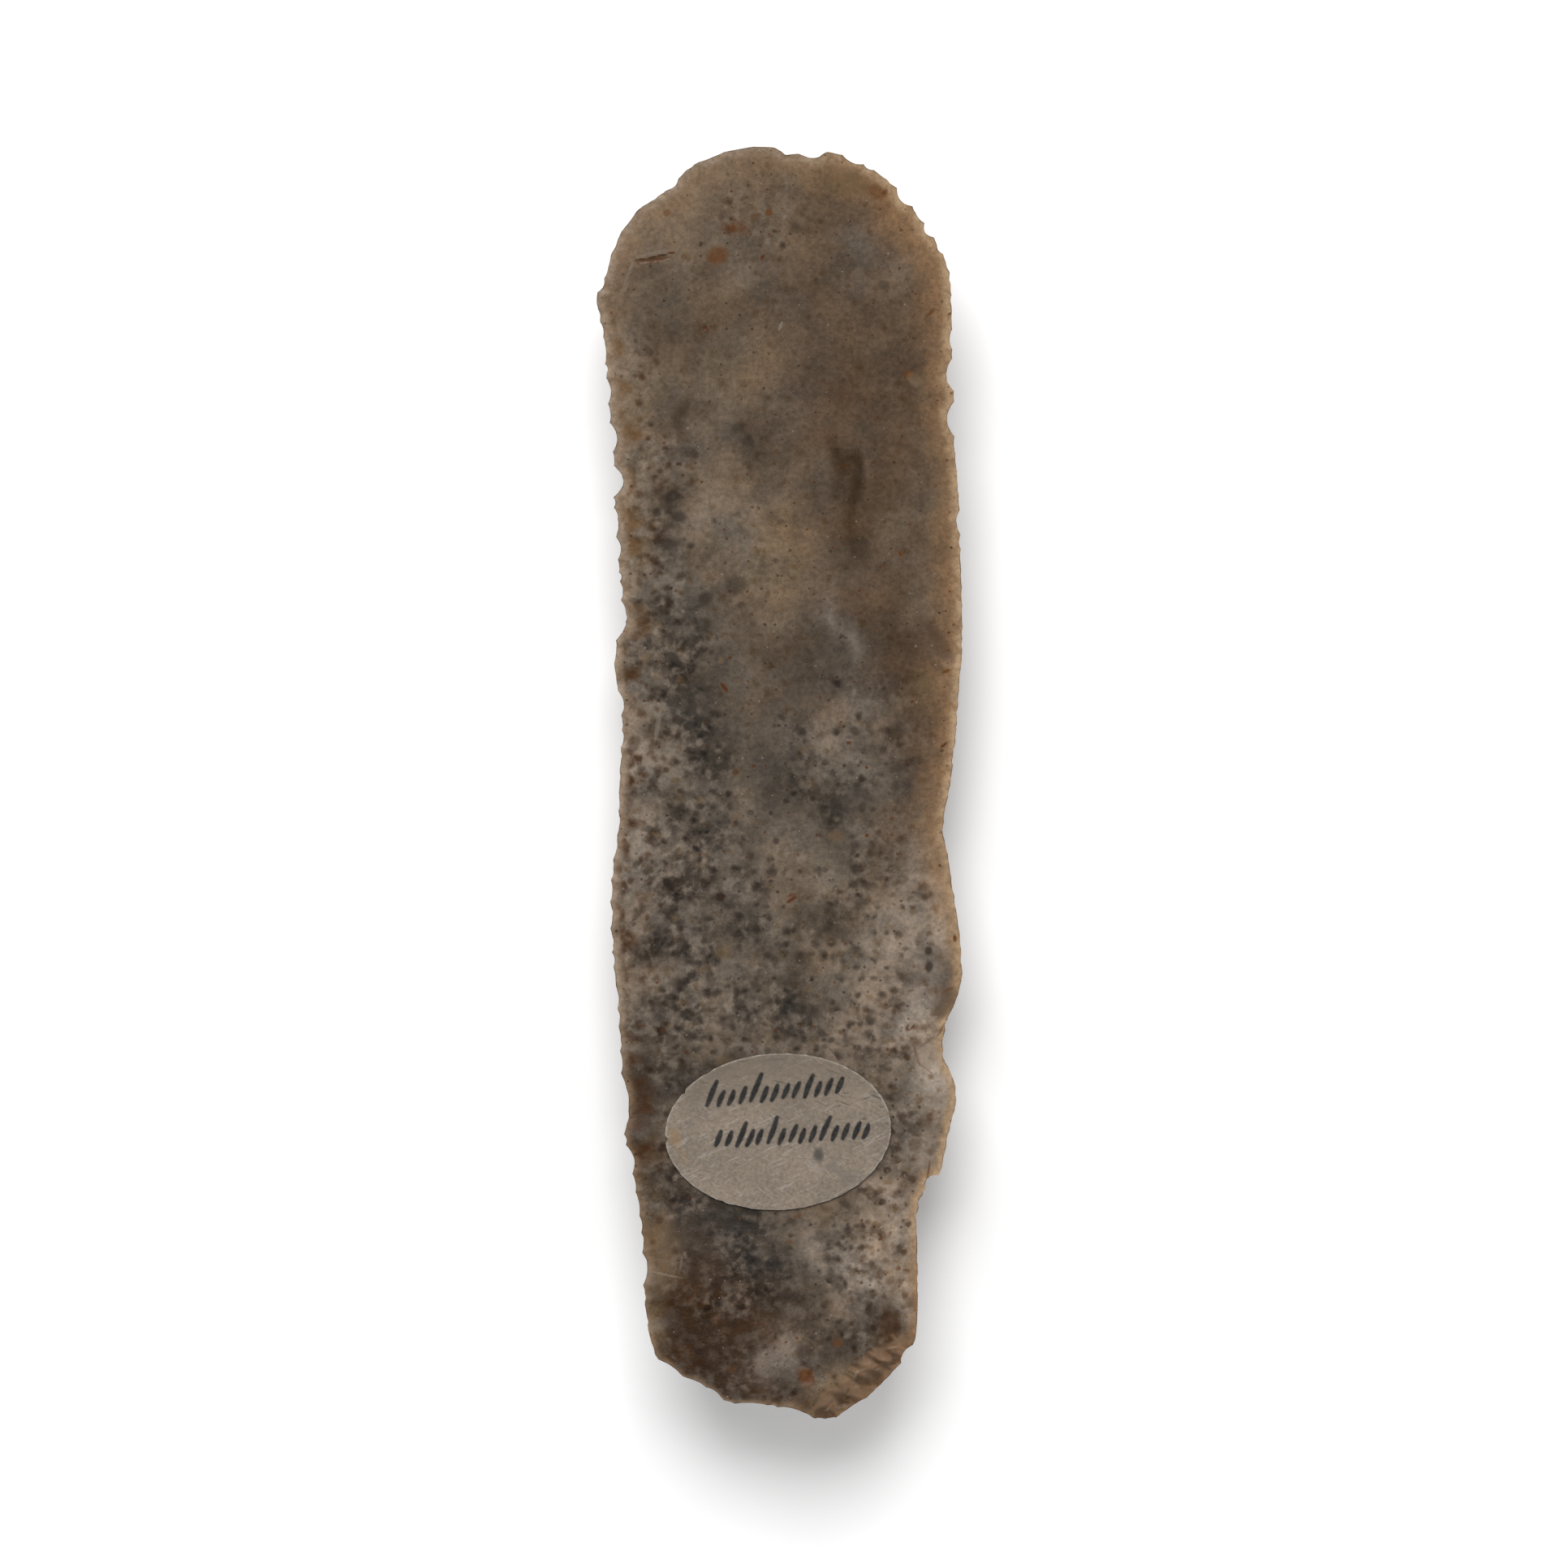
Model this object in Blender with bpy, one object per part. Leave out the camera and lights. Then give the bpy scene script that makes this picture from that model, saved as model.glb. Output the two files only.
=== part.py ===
"""Double-ended blade scraper: one long flint blade, retouched to a scraper front at each end.

The blade lies on its ridged back, so its smooth struck face is up. A small oval paper
label is glued to that face near the narrower end.

Frame: +Y runs towards the wider, rounder front, +X to the right as seen from above, +Z up.
The origin is below the middle of the blade's box, on the surface that the blade lies on.
All sizes are in millimetres and become metres when a mesh is made.
"""

import math
import random
from collections import namedtuple

import bpy
import numpy as np
from mathutils.geometry import delaunay_2d_cdt

MM = 0.001

# ---------------------------------------------------------------- driving dimensions

BLADE_LENGTH = 112.0
BLADE_WIDTH = 32.4

# The struck face. Heights are above the surface that the blade lies on.
STRUCK_FACE_HEIGHT = 7.7        # at the long edges, half way along
STRUCK_FACE_CROWN = 0.9         # how much higher the middle is than the long edges
WIDE_END_RISE = 3.2             # the blade bows, so both ends stand up
WIDE_END_POWER = 2.0            # a higher power keeps the rise nearer to the end
NARROW_END_RISE = 4.1
NARROW_END_POWER = 2.2
BLADE_TWIST = 0.0004            # rise per square millimetre of x times y

# The back: a long flat facet between two ridges.
RESTING_HALF_LENGTH = 14.0      # the flat middle stretch that the blade lies on
BACK_RISE_WIDE = 4.1            # the back facet's height at the wide end
BACK_RISE_NARROW = 5.3
BACK_RISE_POWER = 1.7
BACK_HOLLOW = 0.8               # the back facet is dished by this much at both ends
SIDE_HOLLOW = 0.30              # the share by which the side facets are dished
RAW_EDGE_LEFT = 3.2             # thickness of the raw blade's edge, before retouch
RAW_EDGE_RIGHT = 1.8

# Retouch scars rise from the back to the edge. For each zone: mean width, thickness left at
# the edge, tangent of the edge angle, distance in which the slope fades, reach, ridge height.
LONG_SCARS = {
    "front": (3.6, 0.6, 2.1, 3.8, 12.0, 0.60),
    "left": (4.8, 0.6, 1.20, 60.0, 7.0, 0.55),
    "right": (6.0, 0.3, 0.90, 60.0, 6.5, 0.45),
}
# The short scars that bite into the edge: tangent of the edge angle, reach in widths.
SHORT_SCARS = {"front": (2.9, 1.0), "left": (2.1, 1.3), "right": (1.6, 1.2)}
THINNEST_EDGE = 0.55            # tangent of the smallest edge angle left anywhere
SCAR_END = 0.5                  # how sharply a scar ends past its reach, per millimetre
SCAR_TAIL = 4.0                 # no scar shows further than this past its reach
SCAR_SPREAD = 2.5               # nor further than this many half widths to its sides
SCAR_OVERRUN = 3.0              # a scar at a hollow in the edge also cuts the bulge beside it
SCAR_SLANT = 0.12               # most that a scar turns from square to the edge, in radians

# The steep retouch of the fronts starts at these y.
WIDE_FRONT_START = 45.0
NARROW_FRONT_START = -48.75

LABEL_LENGTH = 20.0
LABEL_WIDTH = 13.8
LABEL_TURN = math.radians(3.3)
LABEL_CENTRE = (-0.15, -30.8)
LABEL_THICKNESS = 0.25
LABEL_GAP = 0.3                 # clearance that stands for the glue

# ---------------------------------------------------------------- edge of the blade
#
# The edge is a smooth line through the tips of its nibs, and each small scar bites into it.
# Knots are (x, y), counterclockwise, in four stretches.

LEFT_EDGE = (
    (-15.4, 44.6), (-16.2, 42.6), (-15.6, 40.2), (-15.25, 35.9), (-14.95, 32.3), (-14.6, 28.3),
    (-14.6, 25.2), (-14.2, 19.4), (-13.95, 15.8), (-14.55, 10.8), (-13.9, 5.6), (-14.1, 1.0),
    (-14.25, -3.6), (-14.8, -8.2), (-14.85, -13.6), (-14.3, -19.2), (-13.95, -25.0),
    (-13.66, -31.0), (-12.8, -35.2), (-12.15, -39.2), (-11.9, -44.9), (-11.5, -48.2),
)
NARROW_FRONT = (
    (-10.8, -50.5), (-8.5, -52.2), (-6.3, -53.25), (-4.55, -54.5), (-3.2, -54.6), (-0.6, -54.8),
    (3.2, -56.0), (4.8, -56.0), (8.0, -54.0), (10.55, -51.4), (12.0, -49.1),
)
RIGHT_EDGE = (
    (12.2, -46.5), (12.2, -40.5), (12.15, -38.3), (12.7, -36.3), (13.45, -35.3), (14.2, -34.5),
    (14.85, -31.5), (15.65, -27.8), (15.3, -25.9), (14.6, -24.4), (14.65, -21.9), (15.65, -19.2),
    (16.15, -17.2), (15.9, -13.0), (15.2, -8.4), (14.9, -6.4), (14.5, -4.2), (15.05, -0.6), (15.6, 3.8),
    (15.9, 8.4), (16.2, 12.0), (16.05, 19.6), (15.85, 25.6), (15.45, 30.2), (15.4, 34.4),
    (15.25, 37.9), (15.2, 41.2),
)
WIDE_FRONT = (
    (15.0, 45.2), (14.1, 47.3), (12.7, 49.5), (10.3, 52.5), (8.0, 54.2), (5.2, 55.45),
    (4.2, 55.65), (3.6, 55.25), (2.6, 55.2), (1.5, 55.5), (0.5, 55.5), (-0.3, 56.0),
    (-1.3, 56.1), (-4.3, 55.75), (-8.0, 54.2), (-9.2, 52.9), (-10.5, 51.95), (-12.4, 50.6),
    (-14.3, 47.9),
)

# Scars that bite into the edge: place along the stretch (y on the sides, x on the fronts),
# width along the edge, depth.
LEFT_BITES = (
    (44.3, 2.0, 0.2), (40.1, 1.4, 0.12), (36.6, 1.0, 0.15), (34.7, 2.2, 0.35), (30.6, 2.6, 0.5),
    (26.7, 2.8, 0.85), (23.1, 2.6, 0.3), (20.8, 2.0, 0.35), (18.3, 0.7, 0.2), (17.1, 1.5, 0.2),
    (14.4, 3.6, 0.58), (7.1, 2.2, 0.35), (3.9, 1.5, 0.2), (-28.4, 5.4, 0.6), (-33.3, 2.6, 0.45),
    (-42.9, 2.8, 0.42),
)
NARROW_BITES = (
    (-9.6, 2.5, 0.25), (-7.4, 2.2, 0.12), (-5.6, 2.0, 0.2), (-2.4, 2.8, 0.1), (1.5, 3.4, 0.35),
    (6.4, 3.2, 0.2), (11.3, 1.9, 0.4),
)
RIGHT_BITES = (
    (-37.0, 1.1, 0.15), (-35.3, 1.7, 0.5), (21.3, 1.2, 0.15), (23.1, 2.2, 0.3), (32.2, 3.0, 0.62),
    (36.1, 2.9, 0.6), (39.2, 1.8, 0.22),
)
WIDE_BITES = (
    (14.15, 1.1, 0.2), (13.2, 1.5, 0.4), (11.05, 2.1, 0.5), (9.0, 1.6, 0.05), (6.5, 2.0, 0.3),
    (3.0, 1.6, 0.12), (1.0, 1.4, 0.1), (-6.0, 2.4, 0.1), (-9.4, 1.6, 0.15), (-11.4, 1.8, 0.1),
    (-13.2, 2.2, 0.1),
)

# Between the named bites the edge is finely toothed: mean width and depth of a tooth.
FINE_TEETH = {"left": (1.9, 0.12), "narrow": (2.6, 0.06), "right": (1.7, 0.05), "wide": (2.4, 0.07)}

STRETCHES = (
    ("left", LEFT_EDGE, LEFT_BITES),
    ("narrow", NARROW_FRONT, NARROW_BITES),
    ("right", RIGHT_EDGE, RIGHT_BITES),
    ("wide", WIDE_FRONT, WIDE_BITES),
)

# The raw blade's long edges, before the fronts were made: (y, x) along each side.
RAW_LEFT = ((-56.0, -11.4), (-20.0, -14.2), (20.0, -14.4), (56.0, -16.0))
RAW_RIGHT = ((-56.0, 12.2), (-20.0, 15.4), (20.0, 15.9), (56.0, 15.2))

# The two ridges of the back: (y, x).
LEFT_RIDGE = ((-56.0, -5.2), (-20.0, -7.2), (20.0, -7.9), (56.0, -9.0))
RIGHT_RIDGE = ((-56.0, 4.0), (-20.0, 5.2), (20.0, 6.0), (56.0, 6.8))

# Shallow scars on the struck face: centre x, y, half length, half width, turn, depth.
FACE_SCARS = (
    (-12.0, -41.2, 3.6, 2.6, math.radians(75), 0.30),
    (14.6, -23.6, 2.6, 2.6, math.radians(90), 0.30),
    (14.8, -20.2, 2.2, 1.0, math.radians(60), 0.25),
    (15.4, 12.4, 2.2, 2.4, math.radians(90), 0.22),
    (-13.9, 5.0, 2.6, 2.6, math.radians(90), 0.20),
)

# Crushed bevels at the narrow front's right: a line (x, y) to (x, y), the slope below it.
BEVEL_TAPER = 1.2               # a bevel fades out over this length at each end of its line
BEVEL_REACH = 2.5               # and gets no deeper past this distance from it
CRUSHED_BEVELS = (
    ((1.8, -54.9), (6.6, -52.4), 0.45),
    ((5.2, -53.4), (9.4, -50.9), 0.62),
    ((8.4, -51.6), (12.6, -48.0), 0.40),
)

# Mesh: points in each bite of the edge, then rows that follow the edge (distance from it,
# one point for every so many on the edge), then an even field inside them.
BITE_POINTS = 4
FACE_ROWS = ((0.9, 2), (2.2, 4))
FACE_SPACING = 3.0
BACK_ROWS = ((0.35, 1), (0.9, 1), (1.9, 2), (3.0, 2), (4.4, 2))
BACK_SPACING = 1.5
FACE_LEAST_GAP = 0.8            # points closer together than this are thinned out
BACK_LEAST_GAP = 0.3
RIDGE_SPACING = 1.2
RIDGE_MARGIN = 5.5              # the ridges are followed up to this distance from the edge
LABEL_SIDES = 44
LABEL_RINGS = (1.0, 0.8, 0.55, 0.28)
SHARP_ANGLE = math.radians(28)

Scar = namedtuple("Scar", "x y run_x run_y top steepness fade reach width ridge_height")

random_source = random.Random(1906)


# ---------------------------------------------------------------- edge line

def closed_spline(knots, span_points):
    """Centripetal Catmull-Rom curve through the knots, closed, with span_points per knot."""
    knots = np.array(knots)
    spans = []
    for index in range(len(knots)):
        before, start, end, after = (knots[(index + step) % len(knots)] for step in (-1, 0, 1, 2))
        t1 = np.linalg.norm(start - before) ** 0.5
        t2 = t1 + np.linalg.norm(end - start) ** 0.5
        t3 = t2 + np.linalg.norm(after - end) ** 0.5
        t = np.linspace(t1, t2, span_points, endpoint=False)[:, None]
        first = ((t1 - t) * before + t * start) / t1
        middle = ((t2 - t) * start + (t - t1) * end) / (t2 - t1)
        last = ((t3 - t) * end + (t - t2) * after) / (t3 - t2)
        inner = ((t2 - t) * first + t * middle) / t2
        outer = ((t3 - t) * middle + (t - t1) * last) / (t3 - t1)
        spans.append(((t2 - t) * inner + (t - t1) * outer) / (t2 - t1))
    return np.vstack(spans)


class Edge:
    """The line through the nib tips, measured by arc length, and the scars along it."""

    SPAN_POINTS = 24

    def __init__(self):
        knots = [knot for _, stretch, _ in STRETCHES for knot in stretch]
        curve = closed_spline(knots, self.SPAN_POINTS)
        self.curve = np.vstack([curve, curve[:1]])
        steps = np.linalg.norm(np.diff(self.curve, axis=0), axis=1)
        self.arc = np.concatenate([[0.0], np.cumsum(steps)])
        self.total = self.arc[-1]
        self.bites = self.place_bites()
        self.fit_to_size()

    def fit_to_size(self):
        """Centres the scarred edge and stretches it to the blade's width and length."""
        for _ in range(3):
            outline = np.stack(self.scarred_point(outline_arcs(self)), axis=1)
            middle = (outline.max(axis=0) + outline.min(axis=0)) / 2
            self.curve = (self.curve - middle) * (BLADE_WIDTH, BLADE_LENGTH) / np.ptp(outline, axis=0)

    def stretch_ends(self):
        """Name, first and last curve index of each stretch."""
        first = 0
        for name, knots, _ in STRETCHES:
            last = first + len(knots) * self.SPAN_POINTS
            yield name, first, last
            first = last

    def place_bites(self):
        """Named bites with fine teeth between them: rows of start, end, depth."""
        rows = []
        for (name, first, last), (_, _, bites) in zip(self.stretch_ends(), STRETCHES):
            along = self.curve[first:last + 1, 1 if name in ("left", "right") else 0]
            arcs = self.arc[first:last + 1]
            order = np.argsort(along)
            named = []
            for place, width, depth in bites:
                middle = float(np.interp(place, along[order], arcs[order]))
                named.append((middle - width / 2, middle + width / 2, depth))
            tooth_width, tooth_depth = FINE_TEETH[name]
            reached = self.arc[first]
            for start, end, depth in sorted(named):
                if start - reached > 0.3 * tooth_width:
                    rows += fine_teeth(reached, start, tooth_width, tooth_depth)
                rows.append((max(start, reached), end, depth))
                reached = end
            rows += fine_teeth(reached, self.arc[last], tooth_width, tooth_depth)
        return np.array(rows)

    def point(self, arc):
        arc = arc % self.total
        return np.interp(arc, self.arc, self.curve[:, 0]), np.interp(arc, self.arc, self.curve[:, 1])

    def inward(self, arc, reach=0.15):
        """Unit normal that points into the blade."""
        ahead_x, ahead_y = self.point(arc + reach)
        behind_x, behind_y = self.point(arc - reach)
        length = np.hypot(ahead_x - behind_x, ahead_y - behind_y)
        return -(ahead_y - behind_y) / length, (ahead_x - behind_x) / length

    def scarred_point(self, arc, inset=0.0):
        """Point on the edge after the bites, moved inset millimetres into the blade."""
        row = scar_row(self.bites, arc % self.total)
        start, end, depth = self.bites[row].T
        position = scar_position(arc % self.total, start, end)
        x, y = self.point(arc)
        normal_x, normal_y = self.inward(arc)
        cut = depth * (1 - position ** 2) + inset
        return x + normal_x * cut, y + normal_y * cut


def fine_teeth(start, end, width, depth):
    """Rows of start, end, depth that fill the edge from start to end with small teeth."""
    count = max(1, round((end - start) / width))
    shares = [random_source.uniform(0.7, 1.3) for _ in range(count)]
    rows = []
    reached = start
    for share in shares:
        following = reached + (end - start) * share / sum(shares)
        rows.append((reached, following, depth * random_source.uniform(0.4, 1.6)))
        reached = following
    return rows


def scar_row(rows, arc):
    """Index of the row that each arc length falls in."""
    return np.clip(np.searchsorted(rows[:, 0], arc, side="right") - 1, 0, len(rows) - 1)


def scar_position(arc, start, end):
    """-1 at a scar's start, 0 at its middle, 1 at its end."""
    return np.clip((2 * arc - start - end) / (end - start), -1, 1)


# ---------------------------------------------------------------- surfaces

def along_blade(table, y):
    """Smooth value at y of a table of (y, value) pairs."""
    places, values = zip(*table)
    return np.polyval(np.polyfit(places, values, len(places) - 1), y)


def struck_face(x, y):
    """Height of the smooth upper face."""
    end_share = np.abs(y) / (BLADE_LENGTH / 2)
    wide_rise = WIDE_END_RISE * end_share ** WIDE_END_POWER
    narrow_rise = NARROW_END_RISE * end_share ** NARROW_END_POWER
    rise = np.where(y > 0, wide_rise, narrow_rise)
    crown = STRUCK_FACE_CROWN * (1 - (x / (BLADE_WIDTH / 2)) ** 2)
    height = STRUCK_FACE_HEIGHT + rise + crown + BLADE_TWIST * x * y
    dish = np.zeros_like(height)
    for centre_x, centre_y, half_length, half_width, turn, depth in FACE_SCARS:
        along = (x - centre_x) * math.cos(turn) + (y - centre_y) * math.sin(turn)
        across = (y - centre_y) * math.cos(turn) - (x - centre_x) * math.sin(turn)
        inside = 1 - (along / half_length) ** 2 - (across / half_width) ** 2
        dish = np.maximum(dish, depth * np.clip(inside, 0, 1))
    for (start_x, start_y), (end_x, end_y), slope in CRUSHED_BEVELS:
        length = math.hypot(end_x - start_x, end_y - start_y)
        beyond = ((end_y - start_y) * (x - start_x) - (end_x - start_x) * (y - start_y)) / length
        within = ((end_x - start_x) * (x - start_x) + (end_y - start_y) * (y - start_y)) / length
        taper = np.clip(np.minimum(within, length - within) / BEVEL_TAPER + 1, 0, 1)
        dish = np.maximum(dish, slope * taper * np.clip(beyond, 0, BEVEL_REACH))
    return height - dish


def back_blank(x, y):
    """Height of the back before retouch: a long facet between two ridges, and two side facets."""
    past_rest = np.abs(y) - RESTING_HALF_LENGTH
    end_share = np.clip(past_rest / (BLADE_LENGTH / 2 - RESTING_HALF_LENGTH), 0, 1)
    rise = np.where(y > 0, BACK_RISE_WIDE, BACK_RISE_NARROW) * end_share ** BACK_RISE_POWER
    left_ridge = along_blade(LEFT_RIDGE, y)
    right_ridge = along_blade(RIGHT_RIDGE, y)
    across = np.clip((2 * x - left_ridge - right_ridge) / (right_ridge - left_ridge), -1, 1)
    height = rise + BACK_HOLLOW * end_share * (1 - across ** 2)
    sides = (
        (x < left_ridge, left_ridge, along_blade(RAW_LEFT, y), RAW_EDGE_LEFT),
        (x > right_ridge, right_ridge, along_blade(RAW_RIGHT, y), RAW_EDGE_RIGHT),
    )
    for chosen, ridge, raw_edge, thickness in sides:
        share = (x - ridge) / (raw_edge - ridge)
        climb = struck_face(raw_edge, y) - thickness - rise
        facet = rise + climb * share * (1 + SIDE_HOLLOW * (1 - share))
        height[chosen] = facet[chosen]
    return height


def edge_distance(x, y, line):
    """Distance to the closed line of points."""
    step = np.roll(line, -1, axis=0) - line
    away_x = x[:, None] - line[:, 0]
    away_y = y[:, None] - line[:, 1]
    share = (away_x * step[:, 0] + away_y * step[:, 1]) / np.sum(step ** 2, axis=1)
    share = np.clip(share, 0, 1)
    distance = np.hypot(away_x - share * step[:, 0], away_y - share * step[:, 1])
    return distance.min(axis=1)


def zone_at(x, y):
    """Which kind of retouch the edge has here."""
    if y > WIDE_FRONT_START or y < NARROW_FRONT_START:
        return "front"
    return "left" if x < 0 else "right"


def retouch_scar(edge, arc, width, start, steepness, fade, reach, ridge_height):
    """A trough that runs into the blade from the edge."""
    x, y = edge.scarred_point(arc)
    inward_x, inward_y = edge.inward(arc, max(1.5, width))
    turn = random_source.uniform(-SCAR_SLANT, SCAR_SLANT)
    run_x = inward_x * math.cos(turn) - inward_y * math.sin(turn)
    run_y = inward_x * math.sin(turn) + inward_y * math.cos(turn)
    top = float(struck_face(x, y)) - start
    return Scar(x, y, run_x, run_y, top, steepness, fade, reach, width, ridge_height)


def retouch_scars(edge):
    """All scars of the retouch: long ones all round, then the short ones that bite the edge."""
    scars = []
    reached = 0.0
    while reached < edge.total:
        zone = zone_at(*edge.point(reached))
        width, start, steepness, fade, reach, ridge_height = LONG_SCARS[zone]
        width *= random_source.uniform(0.7, 1.3)
        start *= random_source.uniform(0.4, 1.5)
        steepness *= random_source.uniform(0.92, 1.08)
        reach *= random_source.uniform(0.7, 1.2)
        middle = reached + width / 2
        scars.append(retouch_scar(edge, middle, width, start, steepness, fade, reach, ridge_height))
        reached += width
    for begin, end, depth in edge.bites:
        middle, width = (begin + end) / 2, end - begin
        steepness, widths = SHORT_SCARS[zone_at(*edge.point(middle))]
        steepness *= random_source.uniform(0.9, 1.1)
        reach = width * widths * random_source.uniform(0.6, 1.3)
        ridge_height = steepness * depth
        scars.append(retouch_scar(edge, middle, width, 0.0, steepness, 60.0, reach, ridge_height))
    return scars


def back_face(x, y, scars, line):
    """Height of the back: the blank, cut by the scars that rise to the edge."""
    height = back_blank(x, y)
    distance = edge_distance(x, y, line)
    for scar in scars:
        along = (x - scar.x) * scar.run_x + (y - scar.y) * scar.run_y
        across = ((y - scar.y) * scar.run_x - (x - scar.x) * scar.run_y) / (scar.width / 2)
        near = (along > -SCAR_OVERRUN) & (along < scar.reach + SCAR_TAIL)
        near &= np.abs(across) < SCAR_SPREAD
        into = np.maximum(along, distance)[near]
        fall = scar.steepness * scar.fade * (1 - np.exp(-into / scar.fade))
        flank = scar.ridge_height * (across[near] ** 2 + across[near] ** 4) / 2
        beyond = np.clip(along[near] - scar.reach, 0, None)
        trough = scar.top - fall - flank - SCAR_END * beyond ** 2
        height[near] = np.maximum(height[near], trough)
    height = np.minimum(height, struck_face(x, y) - THINNEST_EDGE * distance)
    return np.maximum(height, 0.0)


# ---------------------------------------------------------------- meshes

def outline_arcs(edge):
    """Arc lengths along the edge, evenly spread over each bite, the first at its nib."""
    share = np.arange(BITE_POINTS) / BITE_POINTS
    return np.concatenate([start + (end - start) * share for start, end, _ in edge.bites])


def inner_points(edge, line, arcs, edge_rows, spacing):
    """Points inside the edge line: rows that follow the edge, then an even field."""
    kept = []
    for inset, keep_every in edge_rows:
        x, y = edge.scarred_point(arcs[::keep_every], inset)
        distance = edge_distance(x, y, line)
        chosen = distance > 0.8 * inset
        kept.append(np.stack([x[chosen], y[chosen]], axis=1))
    last_inset = edge_rows[-1][0]
    row_step = spacing * math.sqrt(3) / 2
    columns = np.arange(-BLADE_WIDTH / 2, BLADE_WIDTH / 2, spacing)
    rows = np.arange(-BLADE_LENGTH / 2, BLADE_LENGTH / 2, row_step)
    grid_x, grid_y = np.meshgrid(columns, rows)
    grid_x = grid_x + spacing / 2 * (np.arange(len(rows)) % 2)[:, None]
    grid_x, grid_y = grid_x.ravel(), grid_y.ravel()
    distance = edge_distance(grid_x, grid_y, line)
    inside = distance > last_inset + 0.6 * spacing
    inside &= points_inside(grid_x, grid_y, line)
    kept.append(np.stack([grid_x[inside], grid_y[inside]], axis=1))
    return np.vstack(kept)


def ridge_points(ridge, line):
    """Points along a ridge of the back."""
    y = np.arange(-BLADE_LENGTH / 2, BLADE_LENGTH / 2, RIDGE_SPACING)
    x = along_blade(ridge, y)
    inside = points_inside(x, y, line) & (edge_distance(x, y, line) > RIDGE_MARGIN)
    return np.stack([x[inside], y[inside]], axis=1)


def points_inside(x, y, line):
    """True where a point is inside the closed line."""
    following = np.roll(line, -1, axis=0)
    crosses = (line[:, 1] > y[:, None]) != (following[:, 1] > y[:, None])
    rise = following[:, 1] - line[:, 1]
    rise = np.where(rise == 0, 1.0, rise)
    crossing_x = line[:, 0] + (y[:, None] - line[:, 1]) * (following[:, 0] - line[:, 0]) / rise
    return np.sum(crosses & (x[:, None] < crossing_x), axis=1) % 2 == 1


def spread_out(points, least_gap):
    """Drops each point that lies closer than least_gap to one already kept."""
    kept = []
    cells = {}
    for x, y in points:
        column, row = int(x // least_gap), int(y // least_gap)
        near = (cells.get((column + i, row + j)) for i in (-1, 0, 1) for j in (-1, 0, 1))
        if all(other is None or math.hypot(x - other[0], y - other[1]) >= least_gap for other in near):
            cells[(column, row)] = (x, y)
            kept.append((x, y))
    return kept


def triangulate(line, inner, ridges=()):
    """Triangles over the outline and the inner points, seen from above counterclockwise.

    The inner points start with those of each ridge, given by its number of points, and the
    triangles meet along it. A chord that joins two outline points gets a point in its
    middle, so that the two faces of the blade share nothing but the outline. Returns the
    inner points and the triangles.
    """
    inner = list(inner)
    border = [(i, (i + 1) % len(line)) for i in range(len(line))]
    first = len(line)
    for count in ridges:
        border += [(i, i + 1) for i in range(first, first + count - 1)]
        first += count
    inside_only = 1
    while True:
        points = [tuple(point) for point in line] + inner
        vertices, _, faces, *_ = delaunay_2d_cdt(points, border, [], inside_only, 1e-6)
        if len(vertices) != len(points):
            raise ValueError("the edge line crosses itself")
        chords = set()
        for face in faces:
            for a, b in zip(face, face[1:] + face[:1]):
                steps = abs(a - b) % len(line)
                if a < len(line) and b < len(line) and steps not in (1, len(line) - 1):
                    chords.add((min(a, b), max(a, b)))
        if not chords:
            return inner, faces
        for a, b in sorted(chords):
            inner.append(tuple((line[a] + line[b]) / 2))


def mesh_object(name, vertices, faces, material):
    """A closed mesh object from vertices in millimetres."""
    mesh = bpy.data.meshes.new(name)
    mesh.from_pydata([tuple(c * MM for c in vertex) for vertex in vertices], [], faces)
    mesh.materials.append(material)
    mesh.validate()
    mesh.shade_smooth()
    mesh.set_sharp_from_angle(angle=SHARP_ANGLE)
    piece = bpy.data.objects.new(name, mesh)
    bpy.context.scene.collection.objects.link(piece)
    return piece


def make_blade(edge, material):
    """One closed stone: the struck face and the back meet along the sharp edge."""
    arcs = outline_arcs(edge)
    line = np.stack(edge.scarred_point(arcs), axis=1)
    face_inner = inner_points(edge, line, arcs, FACE_ROWS, FACE_SPACING)
    face_inner = spread_out(face_inner, FACE_LEAST_GAP)
    face_inner, top_faces = triangulate(line, face_inner)
    ridges = [ridge_points(ridge, line) for ridge in (LEFT_RIDGE, RIGHT_RIDGE)]
    back_inner = inner_points(edge, line, arcs, BACK_ROWS, BACK_SPACING)
    back_inner = spread_out(np.vstack([*ridges, back_inner]), BACK_LEAST_GAP)
    back_inner, bottom_faces = triangulate(line, back_inner, [len(ridge) for ridge in ridges])

    line_heights = struck_face(line[:, 0], line[:, 1])
    vertices = [(x, y, z) for (x, y), z in zip(line, line_heights)]
    face_xy = np.array(face_inner)
    vertices += [(x, y, z) for (x, y), z in zip(face_xy, struck_face(*face_xy.T))]
    back_xy = np.array(back_inner)
    back_heights = back_face(back_xy[:, 0], back_xy[:, 1], retouch_scars(edge), line)
    vertices += [(x, y, z) for (x, y), z in zip(back_xy, back_heights)]

    border = len(line)
    shift = len(face_inner)
    faces = [tuple(face) for face in top_faces]
    for face in bottom_faces:
        renumbered = tuple(i if i < border else i + shift for i in face)
        faces.append(renumbered[::-1])
    return mesh_object("flint_blade", vertices, faces, material)


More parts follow.
